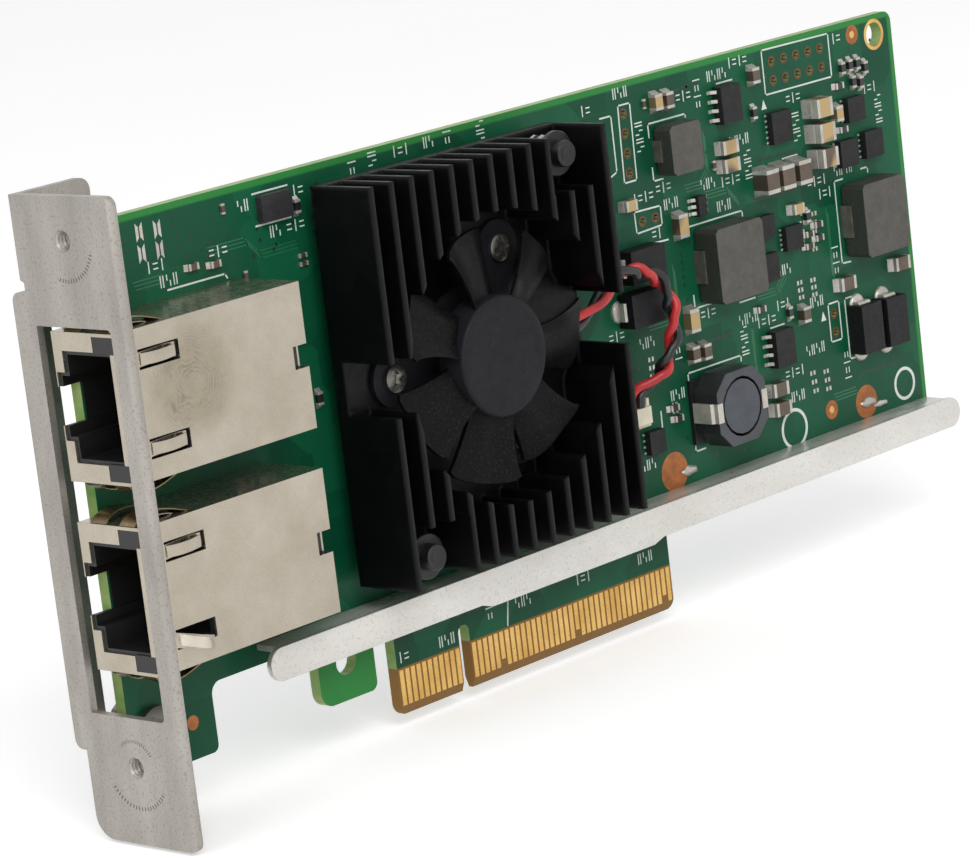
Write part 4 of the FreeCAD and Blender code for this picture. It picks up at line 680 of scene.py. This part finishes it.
# Radius and depth below the cap's face.
PIN_CAP = ((0, 0.12), (0.9, 0.12), (1.1, 0), (1.5, 0), (1.62, 0.1), (1.65, 0.3),
    (1.65, 1.5), (2.7, 1.5), (2.8, 1.6), (2.8, 2.1), (2.7, 2.2), (1.25, 2.2))


def add_cross_head(mesh, x, z, radius, foot, height, turn):
    """Low domed screw head with a cross recess in its top."""
    rows = []
    for i in range(HEAD_RINGS + 1):
        share = i / HEAD_RINGS
        dome = height * (1 - 0.45 * share ** 2.6)
        row = []
        for k in range(HEAD_SIDES):
            a = TURN * k / HEAD_SIDES
            reach = sorted((abs(share * cos(a - turn)), abs(share * sin(a - turn))))
            inside = reach[0] < SLOT and reach[1] < ARM
            sink = 0.6 * height * (1 - 0.5 * reach[1] / ARM) if inside else 0
            row.append((x + radius * share * cos(a), foot - dome + sink,
                z + radius * share * sin(a)))
        rows.append(row)
    add_grid(mesh, rows + [ring(x, foot, z, radius, HEAD_SIDES)])


def make_screws():
    """Cross-head screws of the fan and of the bracket."""
    for name, height, turn in SCREWS:
        mesh = bmesh.new()
        for low, high in islands(name):
            x, _, z = (low + high) / 2
            radius = (high.x - low.x) / 2
            foot = low.y + height
            add_cross_head(mesh, x, z, radius, foot, height, turn)
            shank = radius * 0.5
            add_lathe(mesh, [(shank, foot), (shank, high.y - 0.2), (shank * 0.7, high.y),
                (0, high.y)], x, z, 24)
            turn += 0.7
        made = piece(name[:-1] + "_heads screw_steel", mesh, smooth=True)
        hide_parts(name)


make_screws()


@build("pin_caps pin_plastic", smooth=True)
def pins(mesh):
    """Push pins with round caps, a worn rim and barbed tips."""
    for low, high in islands("push_pins"):
        x, _, z = (low + high) / 2
        add_lathe(mesh, [*[(radius, low.y + depth) for radius, depth in PIN_CAP],
            (1.25, BACK), (1.75, BACK), (1.6, BACK + 0.5), (0.65, high.y),
            (0, high.y)], x, z, 40)


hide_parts("push_pins")


# ---------------- fan lead
# The red and black wires lie side by side from the fan, then twist about one route.
LEAD_ROUTE = (
    (8.05, -6.15, 41.35), (17.0, -6.1, 41.2), (24.5, -6.0, 42.6), (29.5, -5.7, 46.6),
    (34.0, -5.4, 45.9), (38.4, -5.3, 44.1), (40.5, -5.1, 39.6), (40.2, -4.9, 36.0),
    (38.6, -4.7, 33.2), (37.7, -4.3, 31.6), (36.2, -3.6, 30.6), (34.9, -2.7, 30.0),
    (34.35, -2.3, 29.0), (34.3, -2.3, 27.75),
)
WIRE_RADIUS = 0.58
APART = 0.62
TOWARD = Vector((-0.69, -0.69, 0.22))
# Share of the route's length and half turns of the pair made by then.
TWIST = ((0.0, -0.5), (0.2, -0.5), (0.50, 1.0), (0.56, 2.0), (0.66, 3.0), (0.74, 4.0),
    (0.83, 5.0), (0.90, 6.0), (1.0, 6.5))
WIRE_SIDES = 16


def route_points(points):
    """Points read from a smooth spline with these control points."""
    curve = bpy.data.curves.new("route", "CURVE")
    curve.dimensions = "3D"
    curve.resolution_u = 24
    spline = curve.splines.new("NURBS")
    spline.points.add(len(points) - 1)
    for target, point in zip(spline.points, points):
        target.co = (*[value * MM for value in point], 1.0)
    spline.order_u = 3
    spline.use_endpoint_u = True
    holder = bpy.data.objects.new("route", curve)
    bpy.context.scene.collection.objects.link(holder)
    bpy.context.view_layer.update()
    read = bpy.data.meshes.new_from_object(holder)
    places = [vert.co / MM for vert in read.vertices]
    bpy.data.objects.remove(holder)
    bpy.data.meshes.remove(read)
    return places


def half_turns(share):
    """How many half turns the pair has made at a share of the route's length."""
    for (a, low), (b, high) in zip(TWIST, TWIST[1:]):
        if share <= b:
            part = (share - a) / (b - a)
            part = part * part * (3 - 2 * part) if high - low > 0.6 else part
            return low + (high - low) * part
    return TWIST[-1][1]


def across_line(points):
    """Each point of a line with two directions across it there."""
    for i, point in enumerate(points):
        ahead = (points[min(i + 1, len(points) - 1)] - points[max(i - 1, 0)]).normalized()
        near = (TOWARD - ahead * TOWARD.dot(ahead)).normalized()
        yield point, near, ahead.cross(near)


def make_lead():
    middle = route_points(LEAD_ROUTE)
    lengths = [0.0]
    for a, b in zip(middle, middle[1:]):
        lengths.append(lengths[-1] + (b - a).length)
    for colour, side in (("red", 1), ("black", -1)):
        centres = []
        for length, (point, near, beside) in zip(lengths, across_line(middle)):
            angle = pi * half_turns(length / lengths[-1])
            offset = near * cos(angle) + beside * sin(angle)
            centres.append(point + offset * (APART * side))
        mesh = bmesh.new()
        angles = [TURN * k / WIRE_SIDES for k in range(WIRE_SIDES)]
        add_grid(mesh, [[point + near * (WIRE_RADIUS * cos(a))
            + beside * (WIRE_RADIUS * sin(a)) for a in angles]
            for point, near, beside in across_line(centres)], caps=True)
        wire = piece(f"lead_{colour} wire_{colour}", mesh, smooth=True)
        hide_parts("fan_lead_" + colour)


make_lead()


# ---------------- print on the board
INK = 0.03
LINE = 0.22
OUTLINES = (((68, 68.1), (82, 68), (82, 62.2), (68, 62.2), (68, 68.1)),
    ((38.9, 66), (41.2, 66), (41, 56.1), (38.6, 56.1), (38.9, 66)),
    ((35.3, 65), (37.4, 65), (37.4, 57.8), (36.3, 57.4)),
    ((44.2, 61), (44.2, 62.7), (51.6, 62.7), (51.6, 62.3)),
    ((44.2, 57), (44.2, 55.3), (46, 55.3)),
    ((39.8, 52.1), (44.9, 52), (44.9, 49.5), (39.9, 49.3), (39.8, 52.1)),
    ((49.8, 47.9), (49.8, 48.2), (60.8, 48.2), (60.8, 47.4)),
    ((36.5, 47), (36.5, 47.7), (45.7, 47.4)), ((36.7, 41.3), (36.7, 42), (42, 42.2)),
    ((82.1, 48.3), (80.3, 48.3), (80.3, 37.1), (82.1, 37)),
    ((76.4, 32.3), (78.7, 32.3), (78.7, 27.1), (76.4, 27.1), (76.4, 32.3)),
    ((81.6, 32.3), (80, 32.3), (80, 24), (81.4, 24)), ((64.1, 31.7), (66.9, 31.7)),
    ((58.4, 65.4), (61.5, 65.4)), ((46.7, 25.7), (46.7, 29.5), (57.5, 29.5), (57.5, 28.8)),
    ((46.7, 24.2), (46.7, 19.1), (48.6, 19.1)), ((49.5, 39.2), (49.5, 37.5), (52.7, 37.5)),
    ((-25.9, 67.3), (-20.2, 67.3)), ((-25.9, 63.5), (-20.2, 63.5)),
    ((-40.9, 59.1), (-31.8, 59.1), (-31.5, 58.6)), ((70.1, 53.3), (73.1, 53.3)),
    ((86.2, 48.9), (87.6, 48.9), (87.6, 48.2)), ((58.5, 36.4), (61.6, 36.4)),
    ((40.7, 25.8), (40.6, 21.4)), ((8.4, 9), (7.9, 6.1)))
# Rows of small marks: middle X and Z, and how many, negative where they run up the board.
MARKS = ((62.9, 67.6, 4), (58.5, 66.6, 4), (54.4, 65, -4), (61.7, 57.4, 4), (83.6, 67.1, 2),
    (39.5, 67.6, 3), (51.6, 65, 3), (42.4, 61.4, -4), (41.8, 53.7, 4), (47, 51.9, 3),
    (45.9, 54.2, 3), (54.6, 53, 3), (59.1, 52.6, 4), (63, 53.9, -4), (73.5, 60.9, 3),
    (73.6, 57, -4), (89.7, 59.4, 3), (91.2, 56.2, -4), (76.7, 49.1, 4), (82.4, 49.6, 4),
    (78.1, 47.2, 3), (57.3, 49.6, 3), (43.7, 48.6, 2), (68, 38.8, 3), (67.1, 34.3, 3),
    (74.1, 33.2, 3), (52, 36.4, 3), (59.9, 34, 4), (63.4, 32.9, 4), (58.6, 31.2, -4),
    (33.9, 37.2, 3), (39.5, 35.2, 3), (45.3, 33.4, -4), (44.3, 27.3, 3), (68.2, 24.9, 4),
    (72.9, 27, 4), (79.2, 23.2, -4), (68.3, 21.6, 3), (79, 38, -4), (37.2, 19.6, 3),
    (-42.3, 62.2, 3), (-40.6, 60.2, 3), (-32.4, 61.9, 3), (-27.6, 66.3, 2), (-18.6, 66.4, 2),
    (-23, 62.4, 2), (-19.6, 62.4, 3), (-40.2, 57.2, 3), (-10.8, 7.2, 2), (-3.1, 7.2, 3),
    (5, 8.6, -2), (11.1, 8.4, 3), (22.5, 8.4, 3), (34.5, 8, 3), (-9.2, 67.4, -2),
    (-5.7, 67.7, -2), (-0.8, 67.8, 3), (4.1, 67.9, 2), (7.5, 68, -2), (13.4, 67.4, -3),
    (32.7, 66.5, 2))
MARK_PITCH = 1.05
MARK_LINE = 0.17
MARK_TOP = 0.625
MARK_SHAPES = (
    (((0, -MARK_TOP), (0, MARK_TOP)),),
    (((-0.25, 0.1), (-0.25, MARK_TOP)), ((0.25, -MARK_TOP), (0.25, -0.1))),
    (((-0.3, 0.3), (0.3, 0.3)), ((-0.3, -0.3), (0.3, -0.3))),
    (((-0.2, -MARK_TOP), (-0.2, MARK_TOP)), ((0.22, -MARK_TOP), (0.22, MARK_TOP))),
)
ARROWS = ((67.4, 60.9), (75.2, 30.8))
PAD_ROWS = (((71, 36.4), (71.1, 34.4), 3), ((73.8, 36.2), (73.9, 34.2), 3),
    ((71.8, 23.9), (72.1, 21.4), 3), ((74.6, 23.5), (74.8, 21.1), 3),
    ((39.9, 32.9), (39.9, 30.7), 3), ((43.5, 26.1), (43.6, 24.3), 3),
    ((73.1, 45.4), (72.3, 41.7), 4), ((75.4, 44.9), (74.9, 40.2), 5))
BOW_PADS = ((-44.1, 66.5), (-41.3, 66.3), (-44.1, 64), (-41.3, 63.9))
RINGS = ((66.9, 17.4, 2.75), (91.1, 18.1, 2.3))
VIA_ROWS = (((63.6, 49.1), (72, 48.8), 17), ((65.1, 54.1), (73, 53.8), 15),
    ((49.5, 65.9), (54.6, 66.3), 11), ((50, 32.6), (56.2, 32.8), 13),
    ((82.1, 21.6), (89.9, 21.4), 14), ((75.6, 48.6), (81.1, 48.4), 8),
    ((48.6, 65.1), (48, 61.3), 6), ((48.2, 38.9), (47.6, 35.1), 7),
    ((44.6, 50.8), (44, 46.4), 7), ((78.6, 57), (78.7, 50.9), 8),
    ((36.3, 24.5), (37.9, 20.1), 6), ((-46.1, 67.2), (-46.4, 63.5), 4),
    ((-39.3, 67.2), (-38.3, 67.2), 2), ((-38.8, 66.2), (-38.2, 63.5), 3),
    ((47.9, 45), (47.9, 41), 5), ((61.8, 46), (61.8, 40), 8), ((-8, 9.6), (34, 9.6), 24),
    ((-6, 11.6), (36, 11.6), 16))
LOOSE_VIAS = 150
TRACE_LINE = 0.16
TRACES = (((40, 37.5), (44, 37.5), (46, 39.5), (46, 44)), ((54, 52), (58, 52), (60, 50)),
    ((62, 36.8), (66, 36.8), (68, 38.5)), ((-34, 62.6), (-28, 62.6), (-26, 60.6), (-20, 60.6)),
    ((-46, 61), (-41.5, 61)), ((78, 45), (78, 36)),
    ((50, 53.6), (53.2, 53.6), (54.6, 55), (54.6, 60)), ((60.2, 26), (60.2, 33)),
    ((75.8, 20), (80.5, 20)))
FIDUCIALS = ((87.1, 67.0), (75.0, 18.1))
COPPER_DISCS = ((42.1, 17.5, 2.6), (82.5, 17.5, 2.3), (-46.05, 8.9, 0.9))
# Middle X and Z, and half width, half height and depth.
BLOBS = ((45.1, 17.0, 1.5, 0.7, 0.5), (82.9, 17.4, 1.6, 0.7, 0.6),
    (85.6, 16.6, 1.5, 0.4, 0.35))
HEADER_PITCH = 2.54
# First hole's X and Z, columns and rows.
HEADERS = ((69.85, 66.35, 5, 2), (39.75, 64.85, 1, 4), (41.2, 50.65, 2, 1),
    (77.55, 30.8, 1, 2))


@build("legend_print silk_ink")
def legend(mesh):
    """White outlines and rows of small marks with no meaning, in legend ink."""
    level = FRONT - INK
    for points in OUTLINES:
        add_line(mesh, points, LINE, level)
    for x, z, radius in RINGS:
        add_disc(mesh, x, z, radius, level, FRONT, radius - 0.45, 40)
    for number, (x, z, count) in enumerate(MARKS):
        for index in range(abs(count)):
            shift = (index - (abs(count) - 1) / 2) * MARK_PITCH
            for line in MARK_SHAPES[(number * 3 + index * 2) % 4]:
                if count < 0:
                    placed = [(x - b, z + shift + a) for a, b in line]
                else:
                    placed = [(x + shift + a, z + b) for a, b in line]
                add_line(mesh, placed, MARK_LINE, level)
    for x, z in ARROWS:
        mesh.faces.new([mesh.verts.new((x + a, level, z + b))
            for a, b in ((-0.55, -0.5), (0.55, -0.5), (0, 0.8))])


def along(start, end, count):
    """Evenly spaced places from start to end."""
    return [Vector(start).lerp(Vector(end), index / (count - 1)) for index in range(count)]


@build("vias via_mask")
def vias(mesh):
    """Small plated holes under the mask, in rows and scattered."""
    draw = random.Random(7)
    places = [place for row in VIA_ROWS for place in along(*row)]
    for _ in range(LOOSE_VIAS):
        if draw.random() < 0.8:
            places.append((draw.uniform(36, 93), draw.uniform(17, 67)))
        else:
            places.append((draw.uniform(-46, -15), draw.uniform(59, 67)))
    for x, z in places:
        add_disc(mesh, x, z, 0.25, FRONT - 0.012, FRONT, sides=10)
        add_disc(mesh, x, z, 0.2, BACK, BACK + 0.012, sides=10)


@build("traces trace_mask")
def traces(mesh):
    """Short traces under the mask, three side by side."""
    for points in TRACES:
        for shift in (0, 0.45, 0.9):
            moved = [(x + shift * 0.4, z - shift) for x, z in points]
            add_line(mesh, moved, TRACE_LINE, FRONT - 0.01)


@build("bare_pads tin")
def pads(mesh):
    """Bare tinned pads, in pairs and bowed."""
    level = FRONT - 0.035
    for row in PAD_ROWS:
        for x, z in along(*row):
            for start in (x - 0.55, x + 0.15):
                add_box(mesh, start, start + 0.4, level, FRONT, z - 0.3, z + 0.3)
    for x, z in BOW_PADS:
        for side in (-1, 1):
            mesh.faces.new([mesh.verts.new((x + side * a, level, z + b)) for a, b in
                ((0.55, -1.1), (0.1, -0.6), (0.1, 0.6), (0.55, 1.1))])


def add_plated(mesh, x, z, radius, inner, sides):
    """The same ring of plating on both faces of the board."""
    add_disc(mesh, x, z, radius, FRONT - INK, FRONT, inner, sides)
    add_disc(mesh, x, z, radius, BACK, BACK + INK, inner, sides)


@build("plated_rings gold", "copper_patches bare_copper", "header_rings dull_copper")
def bare_metal(rings, patches, holes):
    """Plated rings, fiducials and bare copper."""
    add_plated(rings, BOARD_HIGH.x - 3.9, BOARD_HIGH.z - 2.7, 2.1, 1.62, 40)
    for x, z, radius in COPPER_DISCS:
        add_disc(patches, x, z, radius, FRONT - INK, FRONT, sides=32)
    for x, z in FIDUCIALS:
        add_disc(rings, x, z, 0.5, FRONT - INK, FRONT)
        add_disc(patches, x, z, 1.3, FRONT - INK / 2, FRONT, sides=32)
    for first_x, first_z, columns, rows in HEADERS:
        for k in range(columns * rows):
            x = first_x + k // rows * HEADER_PITCH
            z = first_z - k % rows * HEADER_PITCH
            add_plated(holes, x, z, 0.74, 0.46, 20)
            add_lathe(holes, [(0.46, FRONT), (0.46, BACK)], x, z, 20)


@build("solder_blobs solder", smooth=True)
def blobs(mesh):
    """Uneven lumps of solder."""
    for x, z, wide, tall, deep in BLOBS:
        made = bmesh.ops.create_uvsphere(mesh, u_segments=20, v_segments=12, radius=1)
        for vert in made["verts"]:
            a, y, b = vert.co
            wave = 1 + 0.12 * sin(5 * a + 3 * b)
            vert.co = x + a * wide * wave, FRONT + y * deep, z + b * tall * wave


# ---------------- small parts
END_LONG = 0.32
END_PROUD = 0.02
END_SOFT = 0.03
FILLET_REACH = 0.42
FILLET_RISE = 0.6
CAPACITOR_BODIES = islands("ceramic_capacitors")


def end_facing(low, high):
    """Axis along which a terminal looks, and whether it is at the part's high end."""
    axis = 0 if high.x - low.x < high.z - low.z else 2
    other = 2 - axis
    middle = (low + high) / 2
    for body_low, body_high in CAPACITOR_BODIES:
        body = (body_low + body_high) / 2
        gap = min(abs(body_low[axis] - high[axis]), abs(body_high[axis] - low[axis]))
        if gap < 0.02 and abs(body[other] - middle[other]) < 0.05:
            return axis, body[axis] < middle[axis]
    return axis, False


def add_fillet(mesh, low, high, top, axis, at_high):
    """Wedge of solder from a terminal's end face down to the board."""
    edge = high[axis] if at_high else low[axis]
    out = edge + (FILLET_REACH if at_high else -FILLET_REACH)
    rise = FRONT - (FRONT - top) * FILLET_RISE
    rows = []
    for beside in (low[2 - axis], high[2 - axis]):
        line = ((edge, FRONT), (out, FRONT), (edge, rise))
        rows.append([(a, y, beside) if axis == 0 else (beside, y, a) for a, y in line])
    add_grid(mesh, rows, caps=True)


@build("resistor_caps tin", "solder_fillets solder")
def chip_ends(ends, fillets):
    """Silver ends of the resistors, and solder fillets round every chip part's ends."""
    for low, high in islands("chip_resistors"):
        axis = 0 if high.x - low.x > high.z - low.z else 2
        for at_high in (False, True):
            start = low - Vector((END_PROUD, END_PROUD, END_PROUD))
            stop = high + Vector((END_PROUD, 0, END_PROUD))
            if at_high:
                start[axis] = high[axis] - END_LONG
            else:
                stop[axis] = low[axis] + END_LONG
            add_box(ends, start.x, stop.x, start.y, FRONT, start.z, stop.z, END_SOFT)
            add_fillet(fillets, start, stop, low.y, axis, at_high)
    for low, high in islands("capacitor_ends"):
        add_fillet(fillets, low, high, low.y, *end_facing(low, high))


# Middle X and Z of the chip parts too small for the construction model, and whether
# their ends are above and below.
TINY = ((-19.2, 58.7, 0), (-19.2, 57.7, 0), (-28.7, 58.2, 1), (43.7, 65.4, 1), (56.0, 55.1, 1),
    (-31.0, 66.6, 1), (-9.0, 64.4, 0))
TINY_HIGH = 0.35
# Height above the board and share of the width.
LAND_SECTION = ((0.0, 1.0), (0.22, 0.96), (0.4, 0.8), (0.48, 0.5))


@build("tiny_bodies tiny_brown", "tiny_ends tin")
def tiny_parts(bodies, ends):
    top = FRONT - TINY_HIGH
    for x, z, upright in TINY:
        wide, tall = (0.25, 0.5) if upright else (0.5, 0.25)
        add_box(bodies, x - wide, x + wide, top, FRONT, z - tall, z + tall, END_SOFT)
        for side in (-1, 1):
            if upright:
                end = z + side * tall
                reach = (x - wide - END_PROUD, x + wide + END_PROUD, end - 0.16, end + 0.12)
            else:
                end = x + side * wide
                reach = (end - 0.16, end + 0.12, z - tall - END_PROUD, z + tall + END_PROUD)
            add_box(ends, *reach[:2], top - END_PROUD, FRONT, *reach[2:], END_SOFT)


@build("tantalum_lands tin", smooth=True)
def tantalum_ends(mesh):
    """Half-round solder lands at both ends of each tantalum part."""
    for low, high in islands("tantalum_capacitors"):
        middle = (low + high) / 2
        size = high - low
        flat = size.x > size.z
        half = (size.z if flat else size.x) * 0.34
        end = (size.x if flat else size.z) / 2 - 0.1
        for way in (-1, 1):
            rows = []
            for y, share in LAND_SECTION:
                arc = [(half * share * cos(a), way * (end + half * share * sin(a)))
                    for a in [pi * k / 16 for k in range(17)]]
                rows.append([(middle.x + (out if flat else beside), FRONT - y,
                    middle.z + (beside if flat else out)) for beside, out in arc])
            mesh.faces.new(add_grid(mesh, rows, closed=False)[-1])


# ---------------- jacks and clips
JACK_FRONT = -58.9
JACK_MIDDLES = (49.6, 27.55)
JACK_HALF = 8.65
SPRINGS_Y = ((-9.9, -7.4), (-5.2, -2.7))
SPRING_LONG = 8.2
SPRING_SHEET = 0.15
THREAD_PITCH = 0.25
# Jack, side towards which the tongue lies, bow off the shield and swing in degrees.
TONGUES = ((0, 1, 0.6, 0), (0, -1, 0.6, 0), (1, 1, 0.6, 0), (1, -1, 1.2, 17))
TONGUE_HALF = 0.68
CLIP_SHEET = 0.16
CLIP_HALF = 1.3


@build("tongues shield_steel", "bent_tongue bright_steel", smooth=True)
def tongues(plain, bent):
    """Latch tongues of the shields, the last one bent out and swung down, in a brighter copy
    of the shield steel that is a painted highlight.
    """
    for jack, way, bow, swing in TONGUES:
        middle = JACK_MIDDLES[jack] + way * (JACK_HALF - 3.55)
        rows = []
        for share in [k / 16 for k in range(17)]:
            x = -55.5 + 5.3 * share
            z = middle - 6.1 * share * sin(radians(swing))
            y = -11.02 - bow * sin(pi * share ** 0.85)
            rows.append([(x, y + a, z + b) for a, b in (
                (0, -TONGUE_HALF), (-0.05, 0), (0, TONGUE_HALF), (0.18, TONGUE_HALF),
                (0.18, -TONGUE_HALF))])
        add_grid(bent if swing else plain, rows, caps=True)


@build("chip_lands tin")
def chip_lands(mesh):
    """Rows of small tinned lands along the sides of the leadless chips."""
    for low, high in islands("leadless_chips"):
        if high.x - low.x < 2.0 or high.z - low.z < 2.0:
            continue
        count = max(int((high.z - low.z) / 0.62), 2)
        pitch = (high.z - low.z - 0.6) / (count - 1)
        for k in range(count):
            z = low.z + 0.3 + k * pitch
            for start in (low.x - 0.38, high.x):
                add_box(mesh, start, start + 0.38, FRONT - 0.14, FRONT, z - 0.14, z + 0.14,
                    END_SOFT)


@build("drum_clips tin")
def drum_clips(mesh):
    """Terminals that wrap over the drum inductor's shield."""
    low, high = box("drum_shield")
    middle = (low.z + high.z) / 2
    for edge, way in ((low.x, -1), (high.x, 1)):
        outer = edge + way * CLIP_SHEET
        for inner, top, foot in ((edge - way * 0.9, low.y - 0.14, low.y),
                (edge, low.y - 0.1, FRONT)):
            add_box(mesh, min(inner, outer), max(inner, outer), top, foot,
                middle - CLIP_HALF, middle + CLIP_HALF, 0.05)


@build("port_linings lining_black")
def port_shade_sheets(mesh):
    """Painted shade: a near-black sheet over the board as the floor of each port."""
    for middle in JACK_MIDDLES:
        add_box(mesh, -55.6, -44.0, FRONT - 0.02, FRONT, middle - 6.2, middle + 6.2)


@build("side_springs spring_bronze", smooth=True)
def side_springs(mesh):
    """Earthing springs that bow out from the sides of each shield."""
    for face, way in [(middle + way * JACK_HALF, way) for middle in JACK_MIDDLES
            for way in (-1, 1)]:
        for y0, y1 in SPRINGS_Y:
            rows = []
            for share in [k / 12 for k in range(13)]:
                x = JACK_FRONT + 0.1 + SPRING_LONG * share
                bow = 1.25 * sin(pi * share ** 0.7) + 0.06
                outer, inner = [face + way * out for out in (bow, bow - SPRING_SHEET)]
                rows.append([(x, y0, outer), (x, y1, outer), (x, y1, inner), (x, y0, inner)])
            add_grid(mesh, rows)


@build("hole_threads bracket_steel")
def hole_threads(mesh):
    """Thread ridges inside the two round holes in the bracket's face."""
    for middle in HOLES_Z:
        add_grid(mesh, [[(-59.3 + i * THREAD_PITCH, HOLE_Y + a, middle + b)
            for a, _, b in ring(0, 0, 0, 1.0 if i % 2 else 1.245, 36)] for i in range(9)])


@build("back_joints solder", smooth=True)
def back_joints(mesh):
    """Cones of solder where the jacks' legs come through the board."""
    for low, high in islands("jack_1_legs") + islands("jack_2_legs"):
        if high.y < BACK:
            continue
        x, _, z = (low + high) / 2
        wide = max(high.x - low.x, high.z - low.z) / 2
        top = min(high.y, BACK + 0.9)
        add_lathe(mesh, [(wide + 0.55, BACK), (wide + 0.3, BACK + 0.18),
            (wide + 0.08, top - 0.1), (0, top)], x, z, 20)


# ---------------- stiffener bar
BAR_X = (-36.6, 97.3)
SHELF_X = (-34.6, 95.1)
BAR_TOP = 15.3
BAR_FOOT = 11.2
BAR_FRONT = -5.1
BAR_SHEET = 0.8
BAR_END = 2.0
LIP = ((-0.5, 0), (1.5, 0.6), (32.0, 0.6), (34.0, 0))


@build("bar_strip bar_steel", smooth=True)
def bar(mesh):
    """Folded strip: a flange with round ends and a shelf that meets the board."""
    outline = []
    middle, half = (BAR_TOP + BAR_FOOT) / 2, (BAR_TOP - BAR_FOOT) / 2
    for centre, angles in ((BAR_X[0] + BAR_END, range(90, 271, 12)),
            (BAR_X[1] - BAR_END, range(-90, 91, 12))):
        for a in [radians(degrees) for degrees in angles]:
            outline.append((centre + BAR_END * cos(a), middle + half * sin(a)))
        if centre < 0:
            outline += [(x, BAR_FOOT - drop) for x, drop in LIP]
    add_plate(mesh, outline, BAR_FRONT, BAR_FRONT + BAR_SHEET)
    bmesh.ops.recalc_face_normals(mesh, faces=mesh.faces)
    bmesh.ops.bevel(mesh, geom=[e for e in mesh.edges if e.calc_face_angle(0) > 1.2],
        offset=0.16, segments=2, affect="EDGES", profile=0.6)
    add_box(mesh, *SHELF_X, BAR_FRONT + 0.2, FRONT - 0.01, BAR_TOP - BAR_SHEET, BAR_TOP, 0.12)


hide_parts("stiffener_bar")
